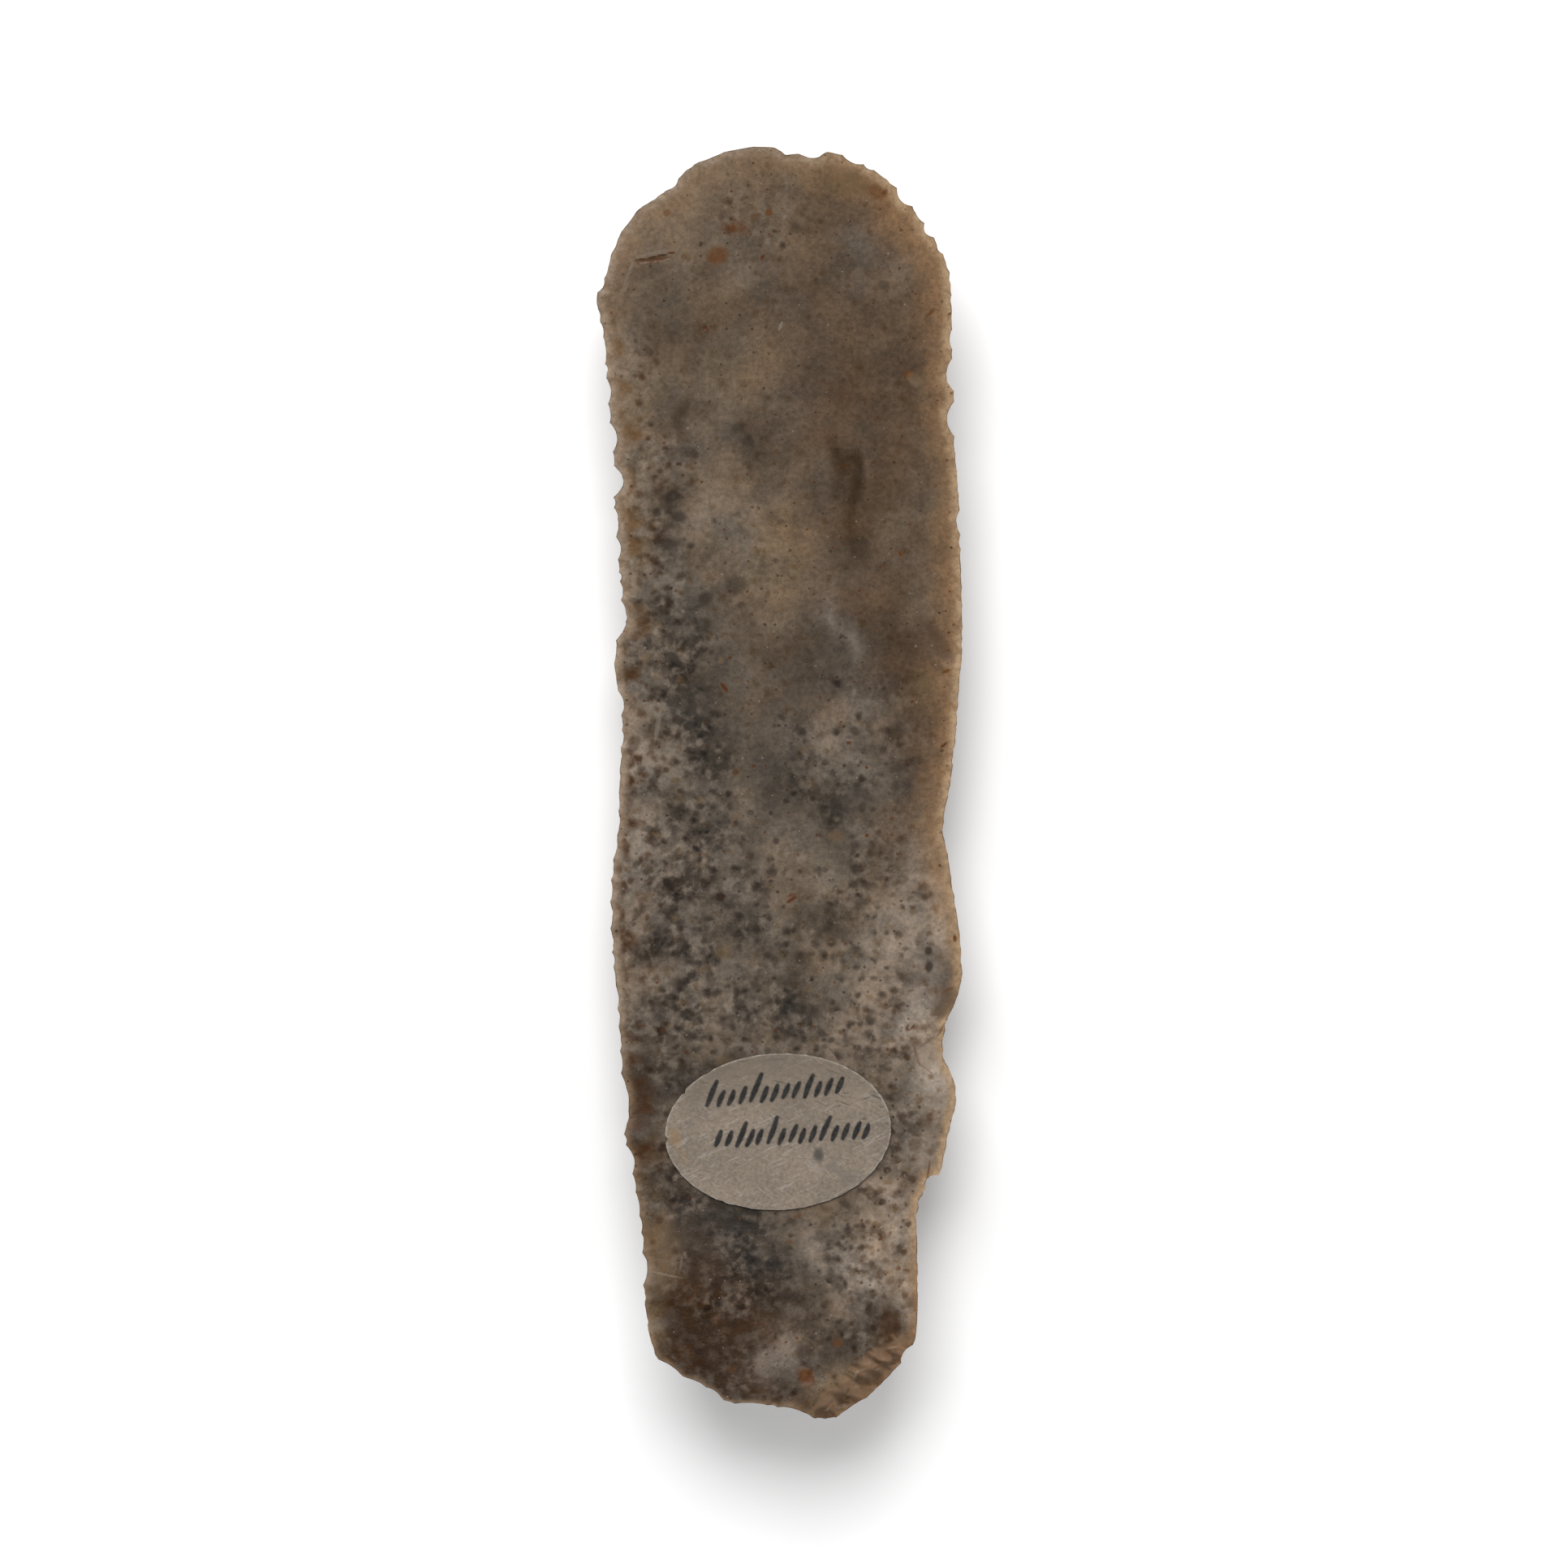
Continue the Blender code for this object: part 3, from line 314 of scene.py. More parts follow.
# Soft clouds in the stone: x, y, half width, half length, turn in degrees, strength.
CLOUDS = (
    ("cool", (
        (-3, 0, 9, 25, 0, 0.75), (-9, 3, 5, 22, 0, 0.6), (4, -20, 7, 8, 0, 0.6),
        (5, 5, 5, 8, 0, 0.3),
    )),
    ("brown", (
        (9, 32, 6.5, 15, 0, 0.6), (8, 20, 5.5, 9, 0, 0.5), (6, 47, 3.4, 6, 20, 0.1),
        (7.5, 52.2, 4.6, 3.0, -25, 0.9), (2.8, 41.3, 3.6, 3.2, 0, 0.55), (4, 34, 3, 4, 0, 0.7),
        (-2.5, 30.5, 3.5, 2.2, 0, 0.5), (1, 8, 3.5, 6, 0, 0.35), (10.8, 9, 3.4, 5.5, 0, 0.95),
        (12.2, 1.5, 3.0, 6, -8, 0.85), (13.6, -18.8, 2.2, 1.4, 20, 0.8),
        (9.6, -47.5, 2.6, 2.6, 0, 0.7), (-5, 40, 3.5, 2, 30, 0.25), (13, 13.5, 3, 2, -40, 0.6),
    )),
    ("beige", (
        (-5, 36.3, 3.4, 4, 0, 0.75), (-6.0, 27, 2.2, 4, 0, 0.6), (-3, 22.6, 4.6, 4.0, 0, 1.0),
        (-4.4, 22, 2.2, 2.2, 0, 0.6), (-1.5, 18, 4, 4, 0, 0.6), (-7, 51, 5, 3, 30, 0.35),
        (-3, 11, 3, 5, 0, 0.45), (11, 23, 3, 3, 0, 0.3), (12, 16.6, 2.4, 1.6, 0, 0.6),
        (3.4, -8, 4, 3, 0, 0.5), (4.4, -24.4, 3, 2, 0, 0.7), (9.5, -13, 5, 3, 0, 0.7),
        (6, -18, 4, 5, 0, 0.6), (13.4, -8, 2.2, 6, 0, 0.8), (-1, -22, 3, 3, 0, 0.3),
    )),
    ("milk", (
        (-13.6, 30, 1.6, 6.5, 0, 0.75), (-13.6, 16, 1.6, 5, 0, 0.6), (-13.2, 2.5, 1.5, 6, 0, 0.75),
        (-12.5, -8, 2.2, 6, 0, 0.8), (-9, -17, 4, 4, 0, 0.55), (-11.5, -22, 2.6, 4, 0, 0.55),
        (5.6, 13.6, 1.0, 3.2, 16, 0.75), (5.2, 4.6, 2.8, 3.6, 0, 0.6), (8, -2, 2.4, 3, 0, 0.5),
        (-2.6, -1, 2.0, 2.0, 0, 0.3), (12, -13, 4, 6, 0, 0.55), (12, -24, 4, 5, 0, 0.9),
        (12.8, -32, 2.0, 4, 0, 0.5), (7.5, -41, 4.5, 5, 0, 0.95), (4.5, -41, 3, 2.0, 0, 0.45),
        (7.8, -45.6, 3.0, 2.2, 0, 0.4), (-0.8, -50.5, 2.0, 1.5, 0, 0.8), (2, -8, 3, 2.4, 0, 0.3),
        (-0.4, -13.6, 2.0, 1.8, 0, 0.4), (-5, -21, 2.6, 2.4, 0, 0.35), (8.4, -20, 3.0, 3, 0, 0.8),
        (12, -20, 3, 3, 0, 0.6), (-4.5, -41.5, 2.6, 1.6, 20, 0.25),
        (1.0, -39.6, 1.8, 2.4, -30, 0.75),
    )),
    ("pale", (
        (13.2, -10.5, 2.2, 3.0, 0, 0.5), (11.5, -14.5, 3.4, 2.6, 0, 0.5),
        (13.5, -25.5, 2.4, 3.4, 0, 0.95), (13.0, -22.5, 1.6, 1.6, 0, 0.4),
        (7.6, -14.5, 2.6, 1.6, 20, 0.45), (10.2, -39.5, 2.6, 5.0, 0, 0.9),
        (0.4, -39.4, 1.4, 1.2, -30, 0.3), (7.8, -43, 2.0, 2.4, 0, 0.5),
        (14.8, -12, 1.2, 2.6, 0, 0.8), (14.6, -27.5, 1.4, 2.6, 0, 0.9),
        (11.7, -46, 0.8, 2.6, 0, 0.8), (-0.2, -50.4, 1.6, 1.4, 0, 0.7),
        (-12.6, 2.0, 1.4, 4, 0, 0.45), (-13.0, -9, 1.2, 5, 0, 0.4), (-13.6, 24.5, 1.0, 2.5, 0, 0.5),
        (-14.2, 30, 0.9, 7, 0, 0.5), (-11, 49, 2.5, 4.5, -35, 0.25),
        (12.4, -26.5, 2.4, 2.8, 0, 0.9), (11.5, -21, 2.2, 2.0, 0, 0.5),
        (6.0, 12.2, 0.55, 1.4, 16, 0.6),
    )),
    ("cloud", (
        (-9.6, 26.4, 1.4, 3.4, -8, 0.4), (-3.4, 30.3, 2.2, 1.5, -20, 0.4),
        (-10.4, 45.0, 2.4, 1.6, 0, 0.35), (3.5, 44.5, 3, 2.4, 0, 0.2), (-9, 39, 2.2, 2.4, 0, 0.35),
        (-6, 16.2, 2.4, 1.6, 10, 0.65), (8, 13, 2.2, 1.7, 0, 0.55), (4, 10.6, 2.8, 2.2, 0, 0.85),
        (0, 10.5, 3, 3, 0, 0.45), (0.5, 4, 2.6, 2.2, 0, 0.3), (1.0, 0.0, 3.4, 2.6, -10, 0.8),
        (5.6, -2.2, 2.6, 2.4, 0, 0.9), (10, 1.5, 1.6, 4, -15, 0.5), (4.0, -12.6, 3.2, 2.6, 0, 0.9),
        (-0.6, -17.6, 2.2, 1.8, 0, 0.4), (1.5, -20.5, 2.2, 2.4, 0, 0.95),
        (-4.2, -12.5, 3.0, 3.4, 0, 0.4), (-4.5, -20, 3.0, 2.2, 0, 0.3),
        (13.2, -15.2, 0.9, 1.6, 0, 0.5), (9.0, -28.5, 2.6, 4.4, 0, 0.85),
        (2.2, -45.5, 3.2, 1.9, -55, 0.85), (4, -49, 5.4, 2.2, 20, 0.7),
        (4.2, -38.0, 2.2, 1.6, 0, 0.7), (-12.2, -30, 2.2, 5.5, 0, 0.95),
        (-12.6, -14.5, 1.4, 1.8, 0, 0.6), (-3, -25.5, 7, 2.0, 0, 0.4), (9, -8.5, 2.2, 2.0, 0, 0.45),
    )),
    ("umber", (
        (5.9, 27.2, 0.85, 3.6, 8, 0.9), (6.8, 22.4, 0.9, 2.2, 6, 0.55),
        (-9.2, 25.6, 0.9, 2.0, -14, 0.7), (-8.1, 31.0, 0.7, 3.2, -8, 0.7),
        (-12.0, 10.4, 1.4, 2.4, 0, 0.5), (-11.6, 22.0, 1.4, 3.0, 0, 0.5),
    )),
    ("blue", (
        (-8.6, 10.6, 2.8, 2.6, 20, 1.0), (-9.8, 15.0, 1.4, 1.4, 0, 0.35),
        (-6.6, 6.0, 2.8, 2.4, -30, 0.7), (-6.0, 2.4, 2.2, 2.4, 0, 0.75),
        (-8.6, -4.4, 3.0, 1.4, 0, 0.5), (-8.3, -9.0, 3.6, 2.2, 0, 0.85),
        (-10.6, -14.2, 2.6, 1.8, 0, 0.8), (-7.0, -17, 1.8, 2.0, 0, 0.5),
        (-9.2, -21.4, 2.6, 1.8, 0, 0.7), (-9.6, -26.0, 3.0, 3.0, 0, 0.8),
        (-5.0, -38.5, 5.6, 2.8, 0, 1.0), (-2.5, -42.2, 2.0, 3.4, 30, 0.9),
        (-9.5, -35.5, 2.4, 2.4, 0, 0.8), (-9.6, 24, 1.6, 2, 0, 0.4),
        (-3.5, -45.2, 4.6, 2.7, 10, 0.85), (-6.5, -42.2, 3.4, 2.6, 0, 0.85),
        (-4.0, -38.4, 2.4, 2.0, 0, 0.9),
    )),
    ("amber", (
        (-7.6, -47.4, 3.8, 5.2, 0, 1.0), (-1.5, -54.1, 4.5, 1.5, -8, 0.9),
        (-5.4, -51.4, 4.8, 2.8, -10, 1.0), (-3.2, -48.0, 3.2, 3.4, 0, 0.85),
        (-8.8, -50.3, 1.8, 1.8, 0, 0.7), (2.5, -50.5, 3, 2, 0, 0.45),
        (9.4, -47.4, 1.4, 1.9, 10, 0.8),
    )),
    ("ochre", (
        (-1.0, 21, 2.5, 3, 0, 0.5), (4, 53.5, 5, 1.5, -15, 0.35), (-13, 33, 1.5, 3, 0, 0.6),
        (-13.3, 26, 1.2, 3.5, 0, 0.6), (-12.8, 19, 1.0, 3, 0, 0.5), (12.5, 8.5, 2.5, 1.2, 30, 0.5),
        (-11.0, -41.0, 1.5, 2.8, 0, 0.8), (-12.0, -34, 1.2, 3, 0, 0.5),
        (3.5, -37.8, 1.6, 1.0, 0, 0.5), (6.6, -53.0, 4.2, 1.5, 38, 0.9),
        (-11.2, -47.5, 0.9, 2, 0, 0.8),
    )),
    ("milk", (
        (-0.2, -50.4, 1.8, 1.5, 0, 0.5), (-3.8, 22.4, 2.4, 3.4, 0, 0.42),
        (4.0, -25.6, 2.4, 2.4, 0, 0.4), (-12.4, 9.8, 1.6, 2.6, 0, 0.38),
        (-8.4, 28.2, 2.0, 2.4, 0, 0.3), (8.0, 46.2, 2.4, 2.6, 0, 0.28),
        (0.4, -37.8, 1.8, 1.6, 0, 0.3), (-4.2, 45.4, 2.0, 2.0, 0, 0.18),
    )),
    ("white", (
        (12.8, -26.5, 2.6, 4.2, 0, 0.5),
    )),
)

# Where the stone is full of soft dark spots: x, y, half width, half length, density.
SPOT_ZONES = (
    (-11.8, 25, 3.2, 8, 0.8), (-11, 12, 4.4, 8, 1.0), (-10, -4, 5.5, 12, 1.0),
    (-8.5, -18, 6.5, 8, 0.9), (-3, -11, 6, 8, 0.65), (1, -19, 7, 7, 0.75), (7.5, -22, 6, 7, 0.85),
    (9.6, -31, 4.0, 7, 0.85), (8.5, -42, 5, 8, 1.0), (-9, -34, 4, 6, 0.7), (6, 2, 6, 8, 0.45),
    (9, -10, 6, 7, 0.6), (-5, 20, 6, 6, 0.25), (0, 34, 16, 22, 0.08), (-13, 32, 2.4, 9, 0.4),
    (-1.5, 50.6, 4.5, 3.4, 0.45), (-3, -43, 7, 7, 0.5), (-1, -50, 8, 5, 0.4),
)

# Width of the warm rim, painted light that shines through the thin edge: y, width at the left, width at
# the right.
LIT_RIM_WIDTHS = (
    (-56, 0.35, 0.8), (-50, 0.6, 1.0), (-40, 0.9, 1.1), (-34, 0.8, 0.9), (-22, 0.7, 0.9),
    (-14, 0.75, 1.8), (-8, 0.8, 3.0), (10, 1.0, 3.8), (26, 1.2, 3.0), (38, 2.0, 3.0), (48, 5.5, 4.6),
    (56, 5.5, 4.4),
)

# Small marks on the face: x, y, half length, half width, turn in degrees, colour, strength.
# A negative strength makes a ring.
MARKS = (
    # the wide end
    (-5.5, 46.5, 0.9, 0.74, 20, "orange", 0.7), (-7.0, 47.5, 0.22, 0.16, 80, "dark", 0.7),
    (-4.0, 48.9, 0.95, 0.6, 20, "rust", 0.4), (-4.1, 48.9, 0.4, 0.3, 30, "orange", 0.5),
    (-5.0, 49.1, 0.5, 0.35, 0, "rust", 0.35), (-3.1, 48.6, 0.5, 0.4, 60, "rust", 0.4),
    (-1.0, 50.2, 0.34, 0.3, 0, "orange", 0.75), (-2.1, 50.0, 0.5, 0.2, 10, "rust", 0.4),
    (-10.0, 50.2, 0.32, 0.28, 0, "orange", 0.6), (-1.5, 46.3, 0.22, 0.15, 60, "rust", 0.9),
    (-6.6, 40.1, 0.24, 0.24, 0, "rust", -0.9), (8.5, 52.0, 1.0, 0.55, -20, "orange", 0.5),
    (6.0, 53.0, 1.8, 1.0, -20, "ochre", 0.5), (9.3, 52.0, 0.3, 0.2, 40, "rust", 0.6),
    (13.3, 41.5, 0.5, 0.14, 40, "orange", 0.7), (11.4, 36.1, 0.42, 0.3, 20, "orange", 0.8),
    (11.9, 35.6, 0.75, 0.5, -40, "tan", 0.4), (0.0, 40.3, 0.42, 0.12, 65, "white", 0.5),
    (-13.3, 45.0, 1.1, 0.16, 68, "white", 0.32), (9.1, 43.9, 0.5, 0.35, 0, "cloud", 0.6),
    (-12.3, 46.15, 0.55, 0.09, 8, "dark", 0.85), (-11.3, 46.35, 0.45, 0.1, 14, "dark", 0.9),
    (-10.4, 46.55, 0.5, 0.09, 6, "dark", 0.9), (-9.6, 46.75, 0.4, 0.08, 2, "rust", 0.9),
    # the milky streak just above the crack is a painted highlight on its upper lip
    (-11.2, 46.1, 1.5, 0.24, 10, "orange", 0.55), (-10.9, 46.75, 1.6, 0.2, 10, "milk", 0.4),
    (-11.9, 45.1, 1.7, 0.7, 20, "cloud", 0.4),
    # the upper half
    (10.6, 20.3, 0.26, 0.15, 100, "orange", 0.9), (-9.6, 25.3, 0.7, 0.45, 60, "blue", 0.7),
    (-10.9, 23.9, 0.42, 0.4, 0, "blue", 0.7), (-9.0, 23.6, 0.7, 0.5, 0, "blue", 0.75),
    (-9.9, 21.0, 0.8, 0.5, 10, "blue", 0.6), (-3.7, 31.3, 0.6, 0.4, 0, "blue", 0.5),
    (-2.9, 30.2, 0.5, 0.4, 0, "blue", 0.5), (4.4, 31.8, 0.6, 0.5, 0, "cloud", 0.4),
    (-6.6, 16.4, 0.7, 0.5, 40, "blue", 0.55), (-3.9, 17.5, 1.2, 0.8, 10, "blue", 0.5),
    (-5.2, 10.8, 0.3, 0.22, 60, "ochre", 0.7), (5.6, 12.9, 0.4, 0.12, -35, "dark", 0.6),
    # the middle
    (-4.9, 8.4, 0.5, 0.16, -58, "rust", 0.95), (-3.8, 0.85, 0.42, 0.36, 30, "ochre", 0.5),
    (-3.9, 0.95, 0.3, 0.24, 0, "dark", 0.55), (14.7, 9.8, 0.4, 0.16, 20, "orange", 0.85),
    (12.6, 8.7, 0.9, 0.35, 40, "ochre", 0.5), (14.6, 3.3, 0.36, 0.12, 40, "rust", 0.9),
    (6.1, 3.5, 0.22, 0.16, 0, "rust", 0.75), (1.0, -10.3, 0.55, 0.16, 35, "rust", 0.9),
    (1.0, -9.9, 0.5, 0.12, 20, "rust", 0.6), (9.9, -3.2, 0.22, 0.14, 30, "rust", 0.7),
    (0.6, -1.6, 0.26, 0.24, 0, "blue", 0.8), (-0.8, -2.6, 0.2, 0.2, 0, "blue", 0.7),
    (-2.6, -2.6, 0.3, 0.24, 0, "blue", 0.6), (-5.3, -10.2, 0.34, 0.34, 0, "dark", 0.75),
    (-11.5, 4.9, 0.3, 0.16, 80, "dark", 0.4), (-13.0, 3.3, 0.9, 0.5, 65, "brown", 0.75),
    (-10.8, 5.2, 1.5, 0.22, 80, "milk", 0.5), (5.0, -4.7, 0.6, 0.5, 0, "ochre", 0.5),
    (-5.0, -15.0, 0.7, 0.6, 0, "ochre", 0.45), (-4.9, -24.6, 0.7, 0.5, 0, "ochre", 0.35),
    (11.7, -11.4, 0.3, 0.22, 0, "ochre", 0.6),
    # the lower right edge
    (15.5, -13.8, 0.3, 0.16, 90, "orange", 0.9), (15.0, -18.2, 0.4, 0.14, 20, "orange", 0.6),
    (14.9, -21.0, 1.3, 0.12, 74, "rust", 0.55), (14.3, -21.8, 0.9, 0.1, 62, "rust", 0.5),
    (11.5, -21.7, 0.42, 0.3, 35, "rust", -0.9), (11.6, -21.5, 0.22, 0.12, 40, "white", 0.9),
    (12.15, -24.2, 0.9, 0.1, 108, "rust", 0.55), (12.8, -25.2, 0.8, 0.1, -38, "rust", 0.5),
    (12.9, -23.1, 0.9, 0.1, 36, "rust", 0.5), (13.2, -14.9, 0.4, 0.34, 80, "blue", 0.8),
    (13.25, -16.3, 0.5, 0.34, 80, "blue", 0.8), (9.5, -34.3, 0.3, 0.3, 0, "dark", -0.8),
    (11.0, -34.7, 0.32, 0.32, 0, "dark", -0.8), (13.2, -34.2, 1.0, 0.1, 83, "orange", 0.7),
    (9.0, -37.0, 0.3, 0.28, 0, "dark", 0.7), (-10.9, -41.3, 3.2, 1.75, 78, "tan", 0.22),
    # painted shadow: the two brown marks here lie below the border of the flake scar near x 14, y 12
    (14.2, 12.3, 1.9, 0.7, -58, "brown", 0.6), (12.6, 14.2, 1.0, 0.5, -30, "brown", 0.35),
    (13.2, -24.2, 1.2, 0.95, 90, "pale", 0.5), (14.9, -19.4, 1.5, 0.8, 55, "brown", 0.6),
    (13.9, -18.4, 1.0, 0.5, 0, "rust", 0.3),
    # the narrow end
    (2.3, -52.3, 0.85, 0.6, -60, "orange", 0.8), (2.5, -52.1, 0.7, 0.2, 60, "rust", 0.6),
    (5.1, -49.3, 0.42, 0.4, 0, "orange", 0.6), (1.6, -38.2, 0.3, 0.2, 30, "orange", 0.6),
    (0.9, -40.5, 0.2, 0.2, 0, "orange", 0.6), (-3.5, -38.4, 0.14, 0.12, 0, "orange", 0.7),
    (4.7, -43.6, 1.0, 0.4, -70, "blue", 0.6), (9.7, -47.8, 1.6, 0.85, 75, "hollow", 0.6),
    (-10.0, -43.4, 1.4, 0.1, -15, "pale", 0.35), (-8.8, -42.5, 0.8, 0.1, 80, "pale", 0.25),
    (-10.6, -38.6, 0.4, 0.3, 30, "hollow", 0.55), (-11.2, -40.6, 0.3, 0.22, 0, "hollow", 0.5),
    (-4.3, -51.6, 0.5, 0.3, 0, "rust", 0.4), (-5.6, -47.2, 0.35, 0.3, 0, "orange", 0.25),
    (8.7, -37.0, 0.4, 0.3, 30, "dark", 0.4), (11.3, -39.0, 0.3, 0.22, 30, "dark", 0.7),
)

Scar = namedtuple("Scar", "x y run_x run_y top steepness fade reach width ridge_height")

random_source = random.Random(SEEDS["scars"])


# ---------------------------------------------------------------- edge line

def closed_spline(knots, span_points):
    """Centripetal Catmull-Rom curve through the knots, closed, with span_points per knot."""
    knots = np.array(knots)
    spans = []
    for index in range(len(knots)):
        before, start, end, after = (knots[(index + step) % len(knots)] for step in (-1, 0, 1, 2))
        t1 = np.linalg.norm(start - before) ** 0.5
        t2 = t1 + np.linalg.norm(end - start) ** 0.5
        t3 = t2 + np.linalg.norm(after - end) ** 0.5
        t = np.linspace(t1, t2, span_points, endpoint=False)[:, None]
        first = ((t1 - t) * before + t * start) / t1
        middle = ((t2 - t) * start + (t - t1) * end) / (t2 - t1)
        last = ((t3 - t) * end + (t - t2) * after) / (t3 - t2)
        inner = ((t2 - t) * first + t * middle) / t2
        outer = ((t3 - t) * middle + (t - t1) * last) / (t3 - t1)
        spans.append(((t2 - t) * inner + (t - t1) * outer) / (t2 - t1))
    return np.vstack(spans)


class Edge:
    """The line through the nib tips, measured by arc length, and the scars along it."""

    SPAN_POINTS = 24

    def __init__(self):
        knots = [knot for _, stretch, _ in STRETCHES for knot in stretch]
        curve = closed_spline(knots, self.SPAN_POINTS)
        self.curve = np.vstack([curve, curve[:1]])
        steps = np.linalg.norm(np.diff(self.curve, axis=0), axis=1)
        self.arc = np.concatenate([[0.0], np.cumsum(steps)])
        self.total = self.arc[-1]
        self.bites = self.place_bites()
        self.fit_to_size()

    def fit_to_size(self):
        """Centres the scarred edge and stretches it to the blade's width and length."""
        for _ in range(3):
            outline = np.stack(self.scarred_point(outline_arcs(self)), axis=1)
            middle = (outline.max(axis=0) + outline.min(axis=0)) / 2
            self.curve = (self.curve - middle) * (BLADE_WIDTH, BLADE_LENGTH) / np.ptp(outline, axis=0)

    def stretch_ends(self):
        """Name, first and last curve index of each stretch."""
        first = 0
        for name, knots, _ in STRETCHES:
            last = first + len(knots) * self.SPAN_POINTS
            yield name, first, last
            first = last

    def place_bites(self):
        """Named bites with fine teeth between them: rows of start, end, depth."""
        rows = []
        for (name, first, last), (_, _, bites) in zip(self.stretch_ends(), STRETCHES):
            along = self.curve[first:last + 1, 1 if name in ("left", "right") else 0]
            arcs = self.arc[first:last + 1]
            order = np.argsort(along)
            named = []
            for place, width, depth in bites:
                middle = float(np.interp(place, along[order], arcs[order]))
                named.append((middle - width / 2, middle + width / 2, depth))
            tooth_width, tooth_depth = FINE_TEETH[name]
            reached = self.arc[first]
            for start, end, depth in sorted(named):
                if start - reached > 0.3 * tooth_width:
                    rows += fine_teeth(reached, start, tooth_width, tooth_depth)
                rows.append((max(start, reached), end, depth))
                reached = end
            rows += fine_teeth(reached, self.arc[last], tooth_width, tooth_depth)
        return np.array(rows)

    def point(self, arc):
        arc = arc % self.total
        return np.interp(arc, self.arc, self.curve[:, 0]), np.interp(arc, self.arc, self.curve[:, 1])

    def inward(self, arc, reach=0.15):
        """Unit normal that points into the blade."""
        ahead_x, ahead_y = self.point(arc + reach)
        behind_x, behind_y = self.point(arc - reach)
        length = np.hypot(ahead_x - behind_x, ahead_y - behind_y)
        return -(ahead_y - behind_y) / length, (ahead_x - behind_x) / length

    def scarred_point(self, arc, inset=0.0):
        """Point on the edge after the bites, moved inset millimetres into the blade."""
        row = scar_row(self.bites, arc % self.total)
        start, end, depth = self.bites[row].T
        position = scar_position(arc % self.total, start, end)
        x, y = self.point(arc)
        normal_x, normal_y = self.inward(arc)
        cut = depth * (1 - position ** 2) + inset
        return x + normal_x * cut, y + normal_y * cut


def fine_teeth(start, end, width, depth):
    """Rows of start, end, depth that fill the edge from start to end with small teeth."""
    count = max(1, round((end - start) / width))
    shares = [random_source.uniform(0.7, 1.3) for _ in range(count)]
    rows = []
    reached = start
    for share in shares:
        following = reached + (end - start) * share / sum(shares)
        rows.append((reached, following, depth * random_source.uniform(0.4, 1.6)))
        reached = following
    return rows


def scar_row(rows, arc):
    """Index of the row that each arc length falls in."""
    return np.clip(np.searchsorted(rows[:, 0], arc, side="right") - 1, 0, len(rows) - 1)


def scar_position(arc, start, end):
    """-1 at a scar's start, 0 at its middle, 1 at its end."""
    return np.clip((2 * arc - start - end) / (end - start), -1, 1)


# ---------------------------------------------------------------- surfaces

def along_blade(table, y):
    """Smooth value at y of a table of (y, value) pairs."""
    places, values = zip(*table)
    return np.polyval(np.polyfit(places, values, len(places) - 1), y)


def struck_face(x, y):
    """Height of the smooth upper face."""
    end_share = np.abs(y) / (BLADE_LENGTH / 2)
    wide_rise = WIDE_END_RISE * end_share ** WIDE_END_POWER
    narrow_rise = NARROW_END_RISE * end_share ** NARROW_END_POWER
    rise = np.where(y > 0, wide_rise, narrow_rise)
    crown = STRUCK_FACE_CROWN * (1 - (x / (BLADE_WIDTH / 2)) ** 2)
    height = STRUCK_FACE_HEIGHT + rise + crown + BLADE_TWIST * x * y
    dish = np.zeros_like(height)
    for centre_x, centre_y, half_length, half_width, turn, depth in FACE_SCARS:
        along = (x - centre_x) * math.cos(turn) + (y - centre_y) * math.sin(turn)
        across = (y - centre_y) * math.cos(turn) - (x - centre_x) * math.sin(turn)
        inside = 1 - (along / half_length) ** 2 - (across / half_width) ** 2
        dish = np.maximum(dish, depth * np.clip(inside, 0, 1))
    for (start_x, start_y), (end_x, end_y), slope in CRUSHED_BEVELS:
        length = math.hypot(end_x - start_x, end_y - start_y)
        beyond = ((end_y - start_y) * (x - start_x) - (end_x - start_x) * (y - start_y)) / length
        within = ((end_x - start_x) * (x - start_x) + (end_y - start_y) * (y - start_y)) / length
        taper = np.clip(np.minimum(within, length - within) / BEVEL_TAPER + 1, 0, 1)
        dish = np.maximum(dish, slope * taper * np.clip(beyond, 0, BEVEL_REACH))
    return height - dish


def back_blank(x, y):
    """Height of the back before retouch: a long facet between two ridges, and two side facets."""
    past_rest = np.abs(y) - RESTING_HALF_LENGTH
    end_share = np.clip(past_rest / (BLADE_LENGTH / 2 - RESTING_HALF_LENGTH), 0, 1)
    rise = np.where(y > 0, BACK_RISE_WIDE, BACK_RISE_NARROW) * end_share ** BACK_RISE_POWER
    left_ridge = along_blade(LEFT_RIDGE, y)
    right_ridge = along_blade(RIGHT_RIDGE, y)
    across = np.clip((2 * x - left_ridge - right_ridge) / (right_ridge - left_ridge), -1, 1)
    height = rise + BACK_HOLLOW * end_share * (1 - across ** 2)
    sides = (
        (x < left_ridge, left_ridge, along_blade(RAW_LEFT, y), RAW_EDGE_LEFT),
        (x > right_ridge, right_ridge, along_blade(RAW_RIGHT, y), RAW_EDGE_RIGHT),
    )
    for chosen, ridge, raw_edge, thickness in sides:
        share = (x - ridge) / (raw_edge - ridge)
        climb = struck_face(raw_edge, y) - thickness - rise
        facet = rise + climb * share * (1 + SIDE_HOLLOW * (1 - share))
        height[chosen] = facet[chosen]
    return height


def fine_nicks(total, source):
    """Tiny nicks all along the edge: rows of start, end, depth."""
    rows = []
    reached = 0.0
    while reached < total:
        width = source.uniform(*NICK_WIDTHS)
        rows.append((reached, reached + width, source.choice(NICK_DEPTHS)))
        reached += width
    return np.array(rows)


def search_tree(points):
    """Finds the nearest of some points in the plan."""
    tree = KDTree(len(points))
    for index, (x, y) in enumerate(points):
        tree.insert((x, y, 0), index)
    tree.balance()
    return tree


